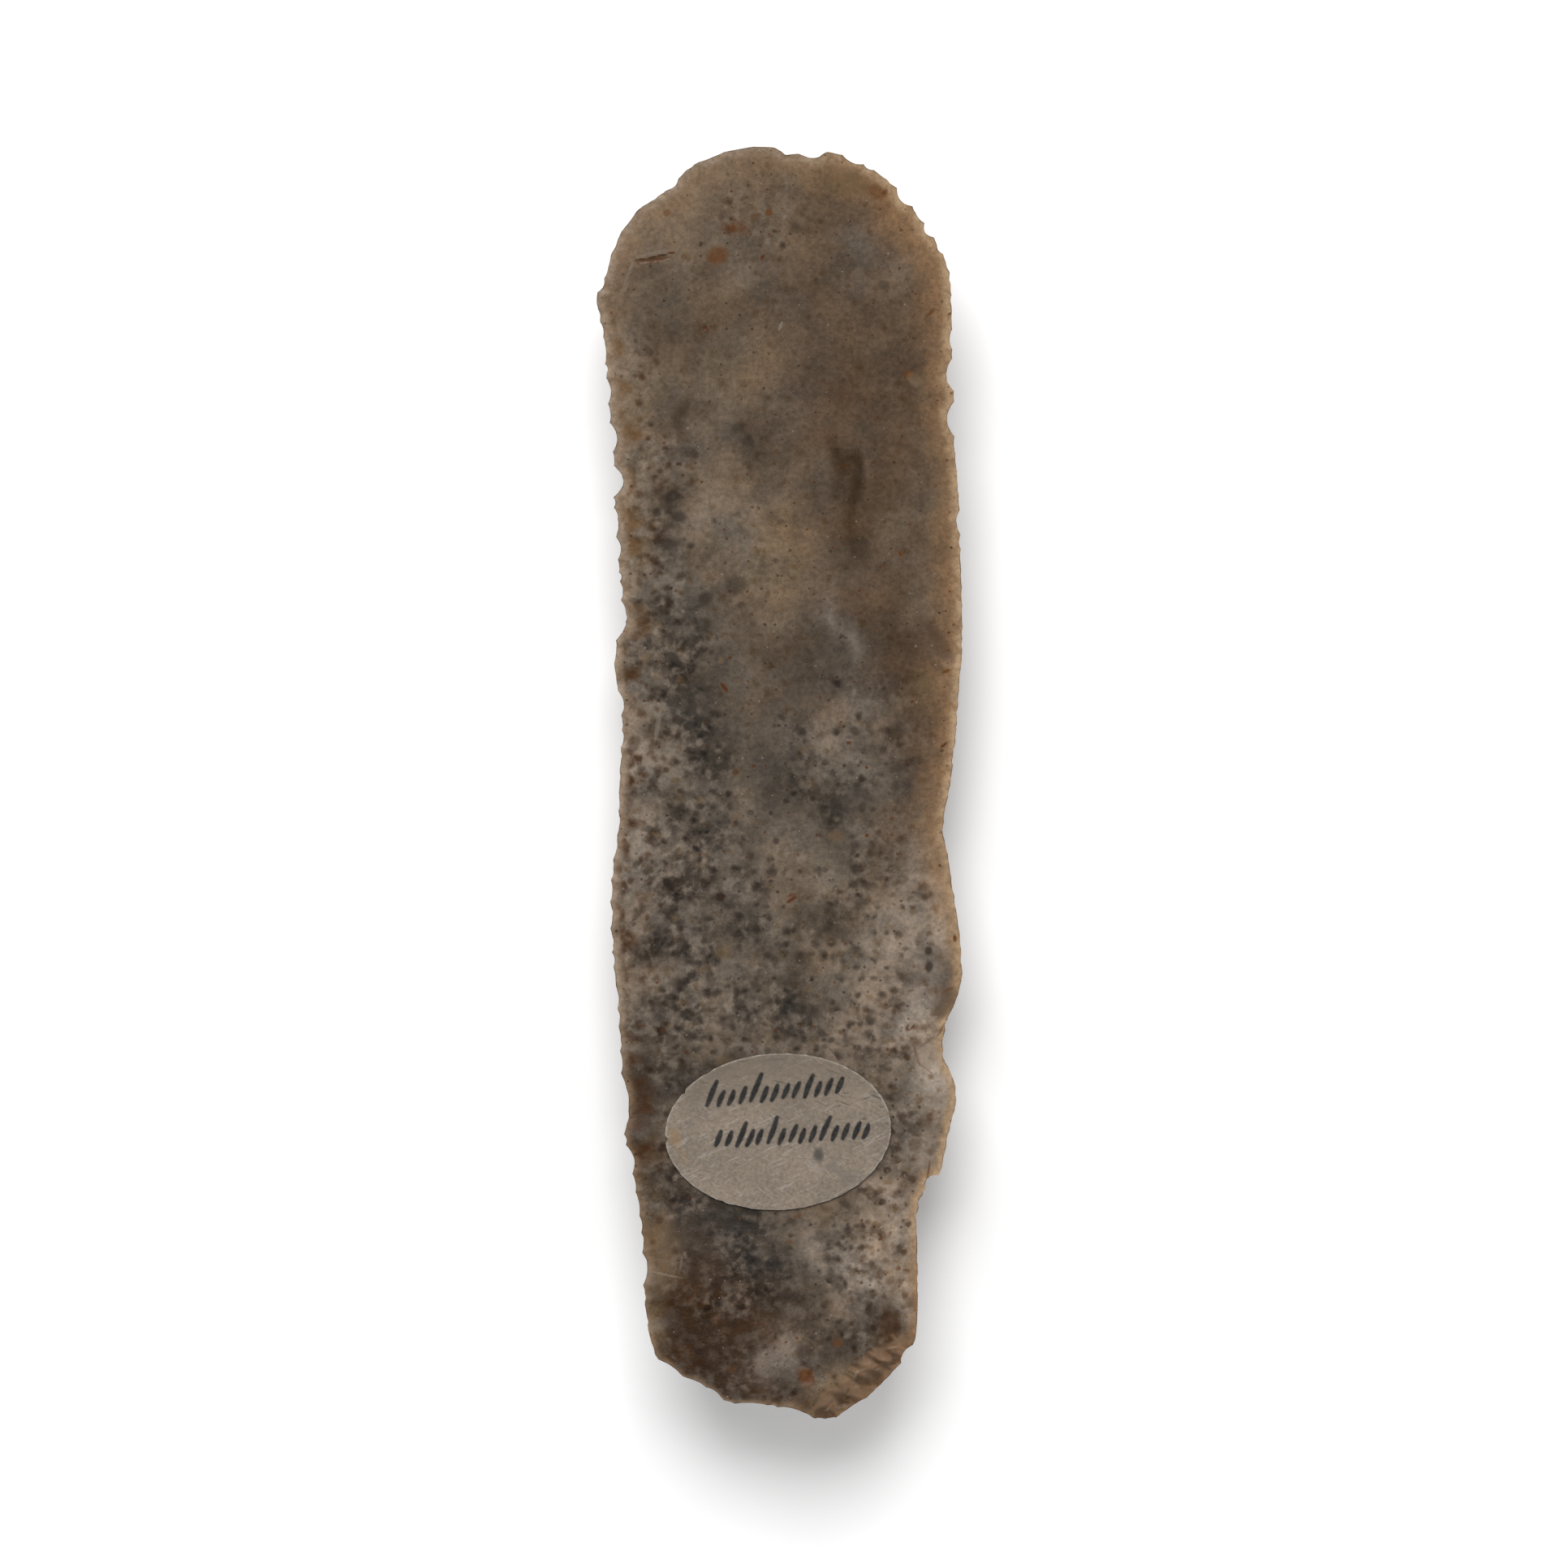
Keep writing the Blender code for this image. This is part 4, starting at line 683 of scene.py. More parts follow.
class EdgeLine:
    """The finished outline: nearest distance to it, and what lies inside it."""

    def __init__(self, edge, arcs, box_low, box_high):
        source = random.Random(SEEDS["nicks"])
        nicks = fine_nicks(edge.total, source)
        row = scar_row(nicks, arcs)
        start, end, depth = nicks[row].T
        cut = depth * (1 - scar_position(arcs, start, end) ** 2)
        line = np.stack(edge.scarred_point(arcs, cut), axis=1)
        self.points = np.clip(line, box_low, box_high)
        following = np.roll(self.points, -1, axis=0)
        shares = np.linspace(0, 1, 4, endpoint=False)[:, None, None]
        samples = (self.points * (1 - shares) + following * shares).reshape(-1, 2)
        self.tree = search_tree(samples)

    def distance(self, x, y):
        """Distance to the outline, in plan."""
        return np.array([self.tree.find((px, py, 0))[2] for px, py in zip(x, y)])

    def inside(self, x, y):
        """True where a point is inside the outline."""
        line = self.points
        following = np.roll(line, -1, axis=0)
        rise = following[:, 1] - line[:, 1]
        rise = np.where(rise == 0, 1.0, rise)
        found = []
        for part_x, part_y in zip(np.array_split(x, 40), np.array_split(y, 40)):
            crosses = (line[:, 1] > part_y[:, None]) != (following[:, 1] > part_y[:, None])
            share = (part_y[:, None] - line[:, 1]) / rise
            crossing_x = line[:, 0] + share * (following[:, 0] - line[:, 0])
            found.append(np.sum(crosses & (part_x[:, None] < crossing_x), axis=1) % 2 == 1)
        return np.concatenate(found)


def zone_at(x, y):
    """Which kind of retouch the edge has here."""
    if y > WIDE_FRONT_START or y < NARROW_FRONT_START:
        return "front"
    return "left" if x < 0 else "right"


def retouch_scar(edge, arc, width, start, steepness, fade, reach, ridge_height):
    """A trough that runs into the blade from the edge."""
    x, y = edge.scarred_point(arc)
    inward_x, inward_y = edge.inward(arc, max(1.5, width))
    turn = random_source.uniform(-SCAR_SLANT, SCAR_SLANT)
    run_x = inward_x * math.cos(turn) - inward_y * math.sin(turn)
    run_y = inward_x * math.sin(turn) + inward_y * math.cos(turn)
    top = float(struck_face(x, y)) - start
    return Scar(x, y, run_x, run_y, top, steepness, fade, reach, width, ridge_height)


def retouch_scars(edge):
    """All scars of the retouch: long ones all round, then the short ones that bite the edge."""
    scars = []
    reached = 0.0
    while reached < edge.total:
        zone = zone_at(*edge.point(reached))
        width, start, steepness, fade, reach, ridge_height = LONG_SCARS[zone]
        width *= random_source.uniform(0.7, 1.3)
        start *= random_source.uniform(0.4, 1.5)
        steepness *= random_source.uniform(0.92, 1.08)
        reach *= random_source.uniform(0.7, 1.2)
        middle = reached + width / 2
        scars.append(retouch_scar(edge, middle, width, start, steepness, fade, reach, ridge_height))
        reached += width
    for begin, end, depth in edge.bites:
        middle, width = (begin + end) / 2, end - begin
        steepness, widths = SHORT_SCARS[zone_at(*edge.point(middle))]
        steepness *= random_source.uniform(0.9, 1.1)
        reach = width * widths * random_source.uniform(0.6, 1.3)
        ridge_height = steepness * depth
        scars.append(retouch_scar(edge, middle, width, 0.0, steepness, 60.0, reach, ridge_height))
    return scars


def back_face(x, y, distance, face_height, scars):
    """Height of the back: the blank, cut by the scars that rise to the edge."""
    height = back_blank(x, y)
    ripple = np.zeros_like(height)
    ripple_height, ripple_spacing = SCAR_RIPPLE
    for index, scar in enumerate(scars):
        along = (x - scar.x) * scar.run_x + (y - scar.y) * scar.run_y
        across = ((y - scar.y) * scar.run_x - (x - scar.x) * scar.run_y) / (scar.width / 2)
        near = (along > -SCAR_OVERRUN) & (along < scar.reach + SCAR_TAIL)
        near &= np.abs(across) < SCAR_SPREAD
        into = np.maximum(along, distance)[near]
        fall = scar.steepness * scar.fade * (1 - np.exp(-into / scar.fade))
        flank = scar.ridge_height * (across[near] ** 2 + across[near] ** 4) / 2
        beyond = np.clip(along[near] - scar.reach, 0, None)
        trough = scar.top - fall - flank - SCAR_END * beyond ** 2
        cut = np.where(near)[0][trough > height[near]]
        height[near] = np.maximum(height[near], trough)
        radius = np.hypot(along[cut], across[cut] * scar.width / 2)
        ripple[cut] = ripple_height * np.sin(math.tau * radius / ripple_spacing + index)
    height += ripple * np.clip(distance / SCAR_RIPPLE_FADE, 0, 1)
    height = np.minimum(height, face_height - THINNEST_EDGE * distance)
    return np.maximum(height, 0.0)


def waves(x, y, source, shortest, longest, count=7):
    """Smooth random waves, from -1 to 1 or a little more."""
    total = np.zeros_like(x)
    for _ in range(count):
        length = source.uniform(shortest, longest)
        turn = source.uniform(0, math.tau)
        phase = source.uniform(0, math.tau)
        total += np.sin(math.tau * (x * math.cos(turn) + y * math.sin(turn)) / length + phase)
    return total / math.sqrt(count)


def face_flakes(edge, source):
    """Small flake scars on the struck face's side of the edge: x, y, run, reach, width, depth."""
    flakes = []
    for start, end, _ in edge.bites:
        middle, width = (start + end) / 2, end - start
        x, y = edge.scarred_point(middle)
        depth, widths = FLAKES[zone_at(x, y)]
        run_x, run_y = edge.inward(middle, width)
        reach = width * widths * source.uniform(*FLAKE_REACHES)
        flakes.append((x, y, run_x, run_y, reach, width, depth * source.uniform(*FLAKE_DEPTHS)))
    return flakes


def flake_cuts(x, y, flakes):
    """How deep the flakes along the edge cut at each place, and from 0 to 1 how far into one it is."""
    dish = np.zeros_like(x)
    cover = np.zeros_like(x)
    for flake_x, flake_y, run_x, run_y, reach, width, depth in flakes:
        near = (np.abs(x - flake_x) < reach + width) & (np.abs(y - flake_y) < reach + width)
        along = (x[near] - flake_x) * run_x + (y[near] - flake_y) * run_y
        across = (y[near] - flake_y) * run_x - (x[near] - flake_x) * run_y
        inside = 1 - (along / reach) ** 2 - (across / (FLAKE_HALF_WIDTH * width)) ** 2
        inside = np.clip(inside, 0, 1)
        dish[near] = np.maximum(dish[near], depth * inside)
        cover[near] = np.maximum(cover[near], inside)
    return dish, cover


def hollow_cuts(x, y):
    """How deep the crushed hollows cut at each place, and from 0 to 1 how far into one it is."""
    source = random.Random(SEEDS["hollows"])
    x, y = warped(x, y, source, *HOLLOW_WARP)
    (start_x, start_y), (end_x, end_y) = CRUSHED_LINE
    length = math.hypot(end_x - start_x, end_y - start_y)
    run_x, run_y = (end_x - start_x) / length, (end_y - start_y) / length
    dish = np.zeros_like(x)
    cover = np.zeros_like(x)
    for inset, row_depth in CRUSHED_ROWS:
        for place in np.arange(-HOLLOW_OVERRUN, length + HOLLOW_OVERRUN, HOLLOW_SPACING):
            shift_along, shift_across = HOLLOW_SHIFTS
            along = place + source.uniform(-shift_along, shift_along) * HOLLOW_SPACING
            inward = inset + source.uniform(-shift_across, shift_across)
            middle = (start_x + run_x * along - run_y * inward, start_y + run_y * along + run_x * inward)
            share = min(1.0, max(0.0, min(along, length - along) + HOLLOW_OVERRUN))
            depth = row_depth * share * source.uniform(*HOLLOW_DEPTHS)
            radii = (source.uniform(*HOLLOW_RADII), source.uniform(*HOLLOW_RADII))
            inside = 1 - mark_distance(x, y, (*middle, *radii, source.uniform(0, 180))) ** 2
            dish = np.maximum(dish, depth * inside)
            cover = np.maximum(cover, np.clip(inside, 0, 1) * min(1.0, 8 * depth))
    return dish, cover


def struck_face_relief(x, y, flakes):
    """Height of the struck face with its swell, ripples, dents and the flakes along its edge."""
    source = random.Random(SEEDS["relief"])
    swell_height, shortest, longest = SWELL
    height = struck_face(x, y) + swell_height * waves(x, y, source, shortest, longest)
    ripple_height, ripple_spacing = RIPPLE
    radius = np.hypot(x - RIPPLE_CENTRE[0], y - RIPPLE_CENTRE[1])
    radius = radius + waves(x, y, source, *RIPPLE_WAVES)
    height -= ripple_height * np.abs(np.sin(math.pi * radius / ripple_spacing))
    dish, _ = flake_cuts(x, y, flakes)
    for dent in DENTS:
        depth, wall = dent[5:]
        share = np.clip((1 - mark_distance(x, y, dent)) / wall, 0, 1)
        dish += depth * share * share * (3 - 2 * share)
    dish += hollow_cuts(x, y)[0]
    return np.minimum(height - dish, CAD_HIGH.z / MM)


# ---------------------------------------------------------------- meshes

def outline_arcs(edge):
    """Arc lengths of the solids' outline, the first of each bite at its nib."""
    share = np.arange(BITE_POINTS) / BITE_POINTS
    return np.concatenate([start + (end - start) * share for start, end, _ in edge.bites])


def fine_arcs(edge):
    """Arc lengths along the edge at the fine spacing, the nibs among them."""
    arcs = []
    for start, end, _ in edge.bites:
        count = max(BITE_POINTS, round((end - start) / LINE_SPACING))
        arcs.append(start + (end - start) * np.arange(count) / count)
    return np.concatenate(arcs)


def even_field(low_x, high_x, low_y, high_y, spacing):
    """Points in a triangular pattern."""
    rows = np.arange(low_y, high_y, spacing * math.sqrt(3) / 2)
    columns = np.arange(low_x, high_x, spacing)
    x, y = np.meshgrid(columns, rows)
    x = x + spacing / 2 * (np.arange(len(rows)) % 2)[:, None]
    return np.stack([x.ravel(), y.ravel()], axis=1)


def thinned(points, least_gap):
    """Drops each point that lies closer than least_gap to one already kept."""
    kept = []
    cells = {}
    for x, y in points:
        column, row = int(x // least_gap), int(y // least_gap)
        near = (cells.get((column + i, row + j)) for i in (-1, 0, 1) for j in (-1, 0, 1))
        if all(other is None or math.hypot(x - other[0], y - other[1]) >= least_gap for other in near):
            cells[(column, row)] = (x, y)
            kept.append((x, y))
    return np.array(kept)


def inner_points(edge, arcs, line, spacing):
    """Points inside the edge line: rows that follow the edge, then an even field."""
    kept = []
    for inset in EDGE_ROWS:
        x, y = edge.scarred_point(arcs, inset)
        chosen = line.distance(x, y) > 0.75 * inset
        kept.append(np.stack([x[chosen], y[chosen]], axis=1))
    field = even_field(CAD_LOW.x / MM, CAD_HIGH.x / MM, CAD_LOW.y / MM, CAD_HIGH.y / MM, spacing)
    field = field[line.inside(*field.T)]
    field = field[line.distance(*field.T) > EDGE_ROWS[-1] + 0.5 * spacing]
    return thinned(np.vstack([*kept, field]), LEAST_GAP)


def mark_distance(x, y, mark):
    """0 at a mark's middle, 1 on its border."""
    mark_x, mark_y, half_length, half_width, degrees = mark[:5]
    turn = math.radians(degrees)
    along = (x - mark_x) * math.cos(turn) + (y - mark_y) * math.sin(turn)
    across = (y - mark_y) * math.cos(turn) - (x - mark_x) * math.sin(turn)
    return np.hypot(along / half_length, across / half_width)


def with_fine_marks(points, line):
    """The points, with a fine field in the place of those under each small mark."""
    fine = []
    small = [mark for mark in (*MARKS, *DENTS) if mark[3] <= SMALL_MARK]
    for mark in (*small, *FINE_FIELDS):
        mark_x, mark_y, half_length, half_width = mark[:4]
        reach = half_length + 2 * MARK_SPACING
        patch = even_field(mark_x - reach, mark_x + reach, mark_y - reach, mark_y + reach, MARK_SPACING)
        grown = (mark_x, mark_y, reach, half_width + 2 * MARK_SPACING, mark[4])
        patch = patch[mark_distance(*patch.T, grown) < 1]
        points = points[mark_distance(*points.T, grown) > 1]
        fine.append(patch)
    fine = np.vstack(fine)
    fine = fine[line.inside(*fine.T)]
    fine = fine[line.distance(*fine.T) > LEAST_GAP]
    return np.vstack([thinned(fine, 0.7 * MARK_SPACING), points])


def ridge_points(ridge, line):
    """Points along a ridge of the back."""
    y = np.arange(CAD_LOW.y / MM, CAD_HIGH.y / MM, BACK_SPACING)
    x = along_blade(ridge, y)
    inside = line.inside(x, y) & (line.distance(x, y) > RIDGE_INSET)
    return np.stack([x[inside], y[inside]], axis=1)


def triangulate(line, inner, ridges=()):
    """Triangles over the outline and the inner points, seen from above counterclockwise.

    The inner points start with those of each ridge, given by its number of points, and the
    triangles meet along it. A chord that joins two outline points gets a point in its
    middle, so that the two faces of the blade share nothing but the outline. Returns the
    inner points and the triangles.
    """
    inner = [tuple(point) for point in inner]
    border = [(i, (i + 1) % len(line)) for i in range(len(line))]
    first = len(line)
    for count in ridges:
        border += [(i, i + 1) for i in range(first, first + count - 1)]
        first += count
    inside_only = 1
    while True:
        points = [tuple(point) for point in line] + inner
        vertices, _, faces, *_ = delaunay_2d_cdt(points, border, [], inside_only, 1e-6)
        if len(vertices) != len(points):
            raise ValueError("the edge line crosses itself")
        chords = set()
        for face in faces:
            for a, b in zip(face, face[1:] + face[:1]):
                steps = abs(a - b) % len(line)
                if a < len(line) and b < len(line) and steps not in (1, len(line) - 1):
                    chords.add((min(a, b), max(a, b)))
        if not chords:
            return np.array(inner), faces
        for a, b in sorted(chords):
            inner.append(tuple((line[a] + line[b]) / 2))


def mesh_object(name, vertices, faces, material, attributes):
    """A closed mesh object from vertices in millimetres, with its point attributes."""
    mesh = bpy.data.meshes.new(name)
    mesh.from_pydata((np.array(vertices) * MM).tolist(), [], faces)
    mesh.materials.append(material)
    mesh.shade_smooth()
    mesh.set_sharp_from_angle(angle=SHARP_ANGLE)
    for title, values in attributes.items():
        values = np.asarray(values, dtype=np.float32)
        kind, key = ("FLOAT", "value") if values.ndim == 1 else ("FLOAT_COLOR", "color")
        mesh.attributes.new(title, kind, "POINT").data.foreach_set(key, values.ravel())
    piece = bpy.data.objects.new(name, mesh)
    bpy.context.scene.collection.objects.link(piece)
    return piece


def make_blade(edge, line, arcs, flakes):
    """One closed stone: the struck face and the back meet along the sharp edge."""
    outline = line.points
    scars = retouch_scars(edge)
    face_xy = with_fine_marks(inner_points(edge, arcs, line, FACE_SPACING), line)
    face_xy, top_faces = triangulate(outline, face_xy)
    ridges = [ridge_points(ridge, line) for ridge in (LEFT_RIDGE, RIGHT_RIDGE)]
    back_xy = inner_points(edge, arcs, line, BACK_SPACING)
    back_xy = thinned(np.vstack([*ridges, back_xy]), LEAST_GAP)
    back_xy, bottom_faces = triangulate(outline, back_xy, [len(ridge) for ridge in ridges])

    plan = np.vstack([outline, face_xy, back_xy])
    distance = np.concatenate([np.zeros(len(outline)), line.distance(*plan[len(outline):].T)])
    heights = struck_face_relief(*plan.T, flakes)
    first_back = len(outline) + len(face_xy)
    back = slice(first_back, None)
    heights[back] = back_face(*plan[back].T, distance[back], heights[back], scars)
    vertices = np.column_stack([plan, heights])

    faces = [tuple(face) for face in top_faces]
    for face in bottom_faces:
        renumbered = tuple(i if i < len(outline) else i + len(face_xy) for i in face)
        faces.append(renumbered[::-1])
    attributes = {
        "cloud": cloud_colours(*plan.T),
        "spots": spot_density(*plan.T),
        "edge": distance,
        # rim: the share across the warm rim, which is painted light through the thin edge
        "rim": distance / lit_rim_width(*plan.T),
        "stain": stains(*plan.T, first_back),
        # painted light of the toothed edge: warm light in the flake hollows, highlights on the crests
        "toothed_edge_light": toothed_edge_light(*plan.T, distance, flakes),
    }
    return mesh_object("flint_blade_dressed", vertices, faces, flint_material(), attributes)


# ---------------------------------------------------------------- painted fields

def seen(colour):
    """Base colour of something that looks like this in the studio, in sRGB from 0 to 255."""
    share = np.array(colour) / 255
    light = np.where(share > 0.04045, ((share + 0.055) / 1.055) ** 2.4, share / 12.92)
    return np.clip((light - SHEEN) / LIGHT, 0.002, 1)


def warped(x, y, source, reach, shortest, longest):
    """The places, shifted by smooth waves, so that ellipses lose their even outline."""
    shift_x = waves(x, y, source, shortest, longest)
    shift_y = waves(x, y, source, shortest, longest)
    return x + reach * shift_x, y + reach * shift_y


def cloud_colours(x, y):
    """Colour of the soft clouds at each place."""
    source = random.Random(SEEDS["clouds"])
    x, y = warped(x, y, source, *CLOUD_WARP)
    colour = np.tile(seen(COLOURS["grey"]), (len(x), 1))
    for name, patches in CLOUDS:
        target = seen(COLOURS[name])
        for patch_x, patch_y, half_width, half_length, degrees, strength in patches:
            reach = mark_distance(x, y, (patch_x, patch_y, half_width, half_length, degrees))
            share = strength * np.exp(-0.7 * reach ** 2.6)
            colour += (target - colour) * share[:, None]
    return np.column_stack([colour, np.ones(len(x))])


def lit_rim_width(x, y):
    """Width of the warm rim, painted light through the thin edge, beside each place."""
    places, left, right = zip(*LIT_RIM_WIDTHS)
    return np.where(x < 0, np.interp(y, places, left), np.interp(y, places, right))


def spot_density(x, y):
    """How full of dark spots the stone is at each place, from 0 to 1."""
    source = random.Random(SEEDS["spots"])
    x, y = warped(x, y, source, *CLOUD_WARP)
    density = np.zeros_like(x)
    for zone_x, zone_y, half_width, half_length, share in SPOT_ZONES:
        reach = mark_distance(x, y, (zone_x, zone_y, half_width, half_length, 0))
        density = np.maximum(density, share * np.exp(-0.8 * reach ** 3))
    return density


def toothed_edge_light(x, y, distance, flakes):
    """Painted light along the toothed left edge: 1 in the middle of a flake's hollow, where warm light
    through the thin stone is painted, below 0 on a crest, where a highlight is painted.
    """
    _, cover = flake_cuts(x, y, flakes)
    beside = np.clip((FRINGE_X - x) / 2, 0, 1) * np.clip((y - FRINGE[0]) / 3, 0, 1)
    beside *= np.clip((FRINGE[1] - y) / 3, 0, 1)
    crest_highlight = np.clip(1 - 2.5 * cover, 0, 1) * np.clip(1 - distance / CREST_HIGHLIGHT_WIDTH, 0, 1)
    return beside * (cover - crest_highlight)


def marked(x, y, marks, fine_softness, softness):
    """Colour of the small marks at each place times their strength, which is the last column."""
    stained = np.zeros((len(x), 4))
    for mark in marks:
        name, strength = mark[5:]
        soft = fine_softness if mark[3] < FINE_MARK else softness
        reach = mark_distance(x, y, mark)
        share = np.clip((1 + soft / 2 - reach) / soft, 0, 1)
        if strength < 0:
            share *= np.clip(2 * reach, 0, 1) ** 2
        share = (share * abs(strength))[:, None]
        stained += (paint(name) - stained) * share
    return stained


def stains(x, y, first_back):
    """Colour of the marks on the face, and of the crushed hollows all round."""
    source = random.Random(SEEDS["marks"])
    rough = warped(x[:first_back], y[:first_back], source, *MARK_WARP)
    stained = np.zeros((len(x), 4))
    stained[:first_back] = marked(*rough, MARKS, *MARK_SOFTNESS)
    share = (HOLLOW_TINT * np.clip(2 * hollow_cuts(x, y)[1], 0, 1))[:, None]
    tint = np.clip(0.4 + waves(x, y, source, *TINT_WAVES), 0, 1)[:, None]
    tone = np.array(paint("hollow")) * tint + np.array(paint("blush")) * (1 - tint)
    stained += (tone - stained) * share
    return stained


# ---------------------------------------------------------------- label

LABEL_LIFT = 0.03               # the glue under the paper
LABEL_PAPER = 0.2               # its thickness
LABEL_POINTS = 380              # along its cut edge
LABEL_SPACING = 0.105
LABEL_EDGE_ROWS = (0.05, 0.13, 0.22)
UNDERSIDE_ROWS = (0.3,)
UNDERSIDE_SPACING = 0.8
LABEL_CURL = (0.05, 0.9, 5, 11)     # how far its edge lifts, past which share, in which waves
LABEL_COCKLE = (0.012, 1.5, 5)  # height and wavelengths
LABEL_WEAR = (0.06, 0.985)      # how much thinner its edge is, past which share
PAPER_SOFTNESS = 0.8            # of the marks on it
PAPER_WARP = (0.06, 2.5, 9)
# The scissors' flats: their widths in degrees and their greatest depth; and the cut's roughness.
CUT_WIDTHS = (7, 16)
CUT_DEPTH = 0.07
CUT_ROUGHNESS = 0.012
# Nicks in the cut edge: place and half width in degrees, depth.
LABEL_NICKS = ((145.0, 2.2, 0.16), (181.0, 3.0, 0.2), (238.0, 1.6, 0.1), (25.0, 2.0, 0.08))
INK_WIDTH = 0.45

# Rows of plain pen strokes: start and end of the base line, and the strokes' heights.
INK_ROWS = (
    ((-6.4, -28.5), (5.0, -27.4), (2.1, 1.2, 1.1, 1.3, 2.3, 1.2, 1.3, 1.1, 1.2, 1.9, 1.1, 1.3, 1.2)),
    (
        (-5.7, -32.1), (7.4, -31.3),
        (1.2, 1.1, 2.0, 1.3, 1.1, 2.2, 1.2, 1.3, 1.1, 1.2, 1.9, 1.1, 1.2, 1.3, 1.1),
    ),
)
INK_EDGE = 0.04                 # half the width over which a stroke fades out
INK_PRESSURE = (0.8, 0.35)      # a stroke's width at its ends, and what its middle adds
STROKE_POINTS = 60
INK_SHIFTS = (0.06, 0.1)        # most that a stroke's foot is off its place, in x and y
INK_BEND = 0.06
INK_SLANTS = (0.36, 0.44)

# Fibres and scratches: direction in degrees, width, how rare they are, colour, strength, and
# whether they are found on the upper part only.
PAPER_FIBRES = (
    (25, 0.22, 0.62, "fibre", 0.5, False), (-38, 0.2, 0.63, "fibre", 0.5, False),
    (-5, 0.25, 0.63, "grime", 0.6, False),
    (-20, 0.25, 0.63, "scratch", 0.9, True), (6, 0.2, 0.64, "scratch", 0.9, True),
)

# Marks on the paper: x, y, half length, half width, turn in degrees, colour, strength.
PAPER_MARKS = (
    (3.3, -32.75, 0.55, 0.42, 70, "blot", 0.9), (3.5, -33.2, 0.4, 0.2, 60, "blot", 0.6),
    (4.6, -33.8, 0.55, 0.42, 20, "smudge", 0.6), (5.3, -34.3, 0.5, 0.4, 0, "smudge", 0.5),
    (6.1, -34.9, 0.8, 0.5, 40, "smudge", 0.6), (3.0, -34.0, 0.8, 0.3, -40, "fibre", 0.3),
    (-9.3, -31.4, 0.9, 0.5, 100, "foxing", 0.55), (-8.5, -33.0, 0.6, 0.3, 120, "foxing", 0.35),
    (-0.5, -24.5, 1.1, 0.1, 4, "blot", 0.6), (1.8, -24.9, 0.9, 0.07, -12, "grime", 0.6),
    (-3.5, -25.2, 2.2, 0.07, 8, "grime", 0.55), (-1.0, -25.7, 2.5, 0.06, -8, "grime", 0.5),
    (2.0, -26.2, 2.4, 0.06, -15, "grime", 0.5), (-5.5, -26.5, 1.8, 0.08, 20, "grime", 0.4),
    (-2.0, -25.0, 5.0, 0.9, 3, "grime", 0.35), (4.5, -26.0, 3.0, 0.8, -20, "grime", 0.15),
    (-1.0, -26.0, 9.0, 2.6, 2, "grime", 0.42), (7.4, -31.0, 0.5, 0.16, 10, "foxing", 0.6),
    (-7.5, -27.6, 1.5, 0.5, 35, "grime", 0.3),
)


def label_outline():
    """The cut edge: an oval with small flats from the scissors and a few nicks."""
    source = random.Random(SEEDS["cut"])
    angles = np.linspace(0, 360, LABEL_POINTS, endpoint=False)
    cut = np.zeros_like(angles)
    reached = 0.0
    while reached < 360:
        width = source.uniform(*CUT_WIDTHS)
        depth = source.uniform(0.0, CUT_DEPTH)
        position = (angles - reached) / width
        within = (position >= 0) & (position < 1)
        cut[within] += depth * (1 - (2 * position[within] - 1) ** 2)
        reached += width
    for place, half_width, depth in LABEL_NICKS:
        cut += depth * np.clip(1 - np.abs(angles - place) / half_width, 0, 1)
    cut += CUT_ROUGHNESS * np.array([source.uniform(-1, 1) for _ in angles])
    turn = np.radians(angles)
    along = (LABEL_LENGTH / 2 - cut) * np.cos(turn)
    across = (LABEL_WIDTH / 2 - cut) * np.sin(turn)
    x = LABEL_CENTRE[0] + along * math.cos(LABEL_TURN) - across * math.sin(LABEL_TURN)
    y = LABEL_CENTRE[1] + along * math.sin(LABEL_TURN) + across * math.cos(LABEL_TURN)
    return np.stack([x, y], axis=1)


def shrunk(outline, inset):
    """The outline, moved towards the label's middle."""
    away = outline - LABEL_CENTRE
    length = np.linalg.norm(away, axis=1)[:, None]
    return LABEL_CENTRE + away * (1 - inset / length)


def label_field(outline, rows, spacing):
    """Points inside the label: rows along its edge, then an even field."""
    low, high = outline.min(axis=0), outline.max(axis=0)
    field = even_field(low[0], high[0], low[1], high[1], spacing)
    away = field - LABEL_CENTRE
    angles = np.arctan2(away[:, 1], away[:, 0])
    rim = outline - LABEL_CENTRE
    rim_angles = np.arctan2(rim[:, 1], rim[:, 0])
    order = np.argsort(rim_angles)
    rim_reach = np.interp(
        angles, rim_angles[order], np.linalg.norm(rim, axis=1)[order], period=math.tau
    )
    inside = rim_reach - np.linalg.norm(away, axis=1) > rows[-1] + 0.5 * spacing
    return np.vstack([*(shrunk(outline, inset) for inset in rows), field[inside]])


def ink_strokes():
    """Points along the pen strokes: two rows of slanted dashes, none of them a letter."""
    source = random.Random(SEEDS["ink"])
    points = []
    for (start_x, start_y), (end_x, end_y), heights in INK_ROWS:
        for index, height in enumerate(heights):
            share = index / (len(heights) - 1)
            shift_x, shift_y = (source.uniform(-most, most) for most in INK_SHIFTS)
            foot_x = start_x + (end_x - start_x) * share + shift_x
            foot_y = start_y + (end_y - start_y) * share + shift_y
            bend = source.uniform(-INK_BEND, INK_BEND)
            slant = source.uniform(*INK_SLANTS)
            for t in np.linspace(0, 1, STROKE_POINTS):
                swell = math.sin(math.pi * t)
                width = INK_PRESSURE[0] + INK_PRESSURE[1] * swell
                points.append((foot_x + slant * t * height + bend * swell, foot_y + height * t, width))
    return np.array(points)


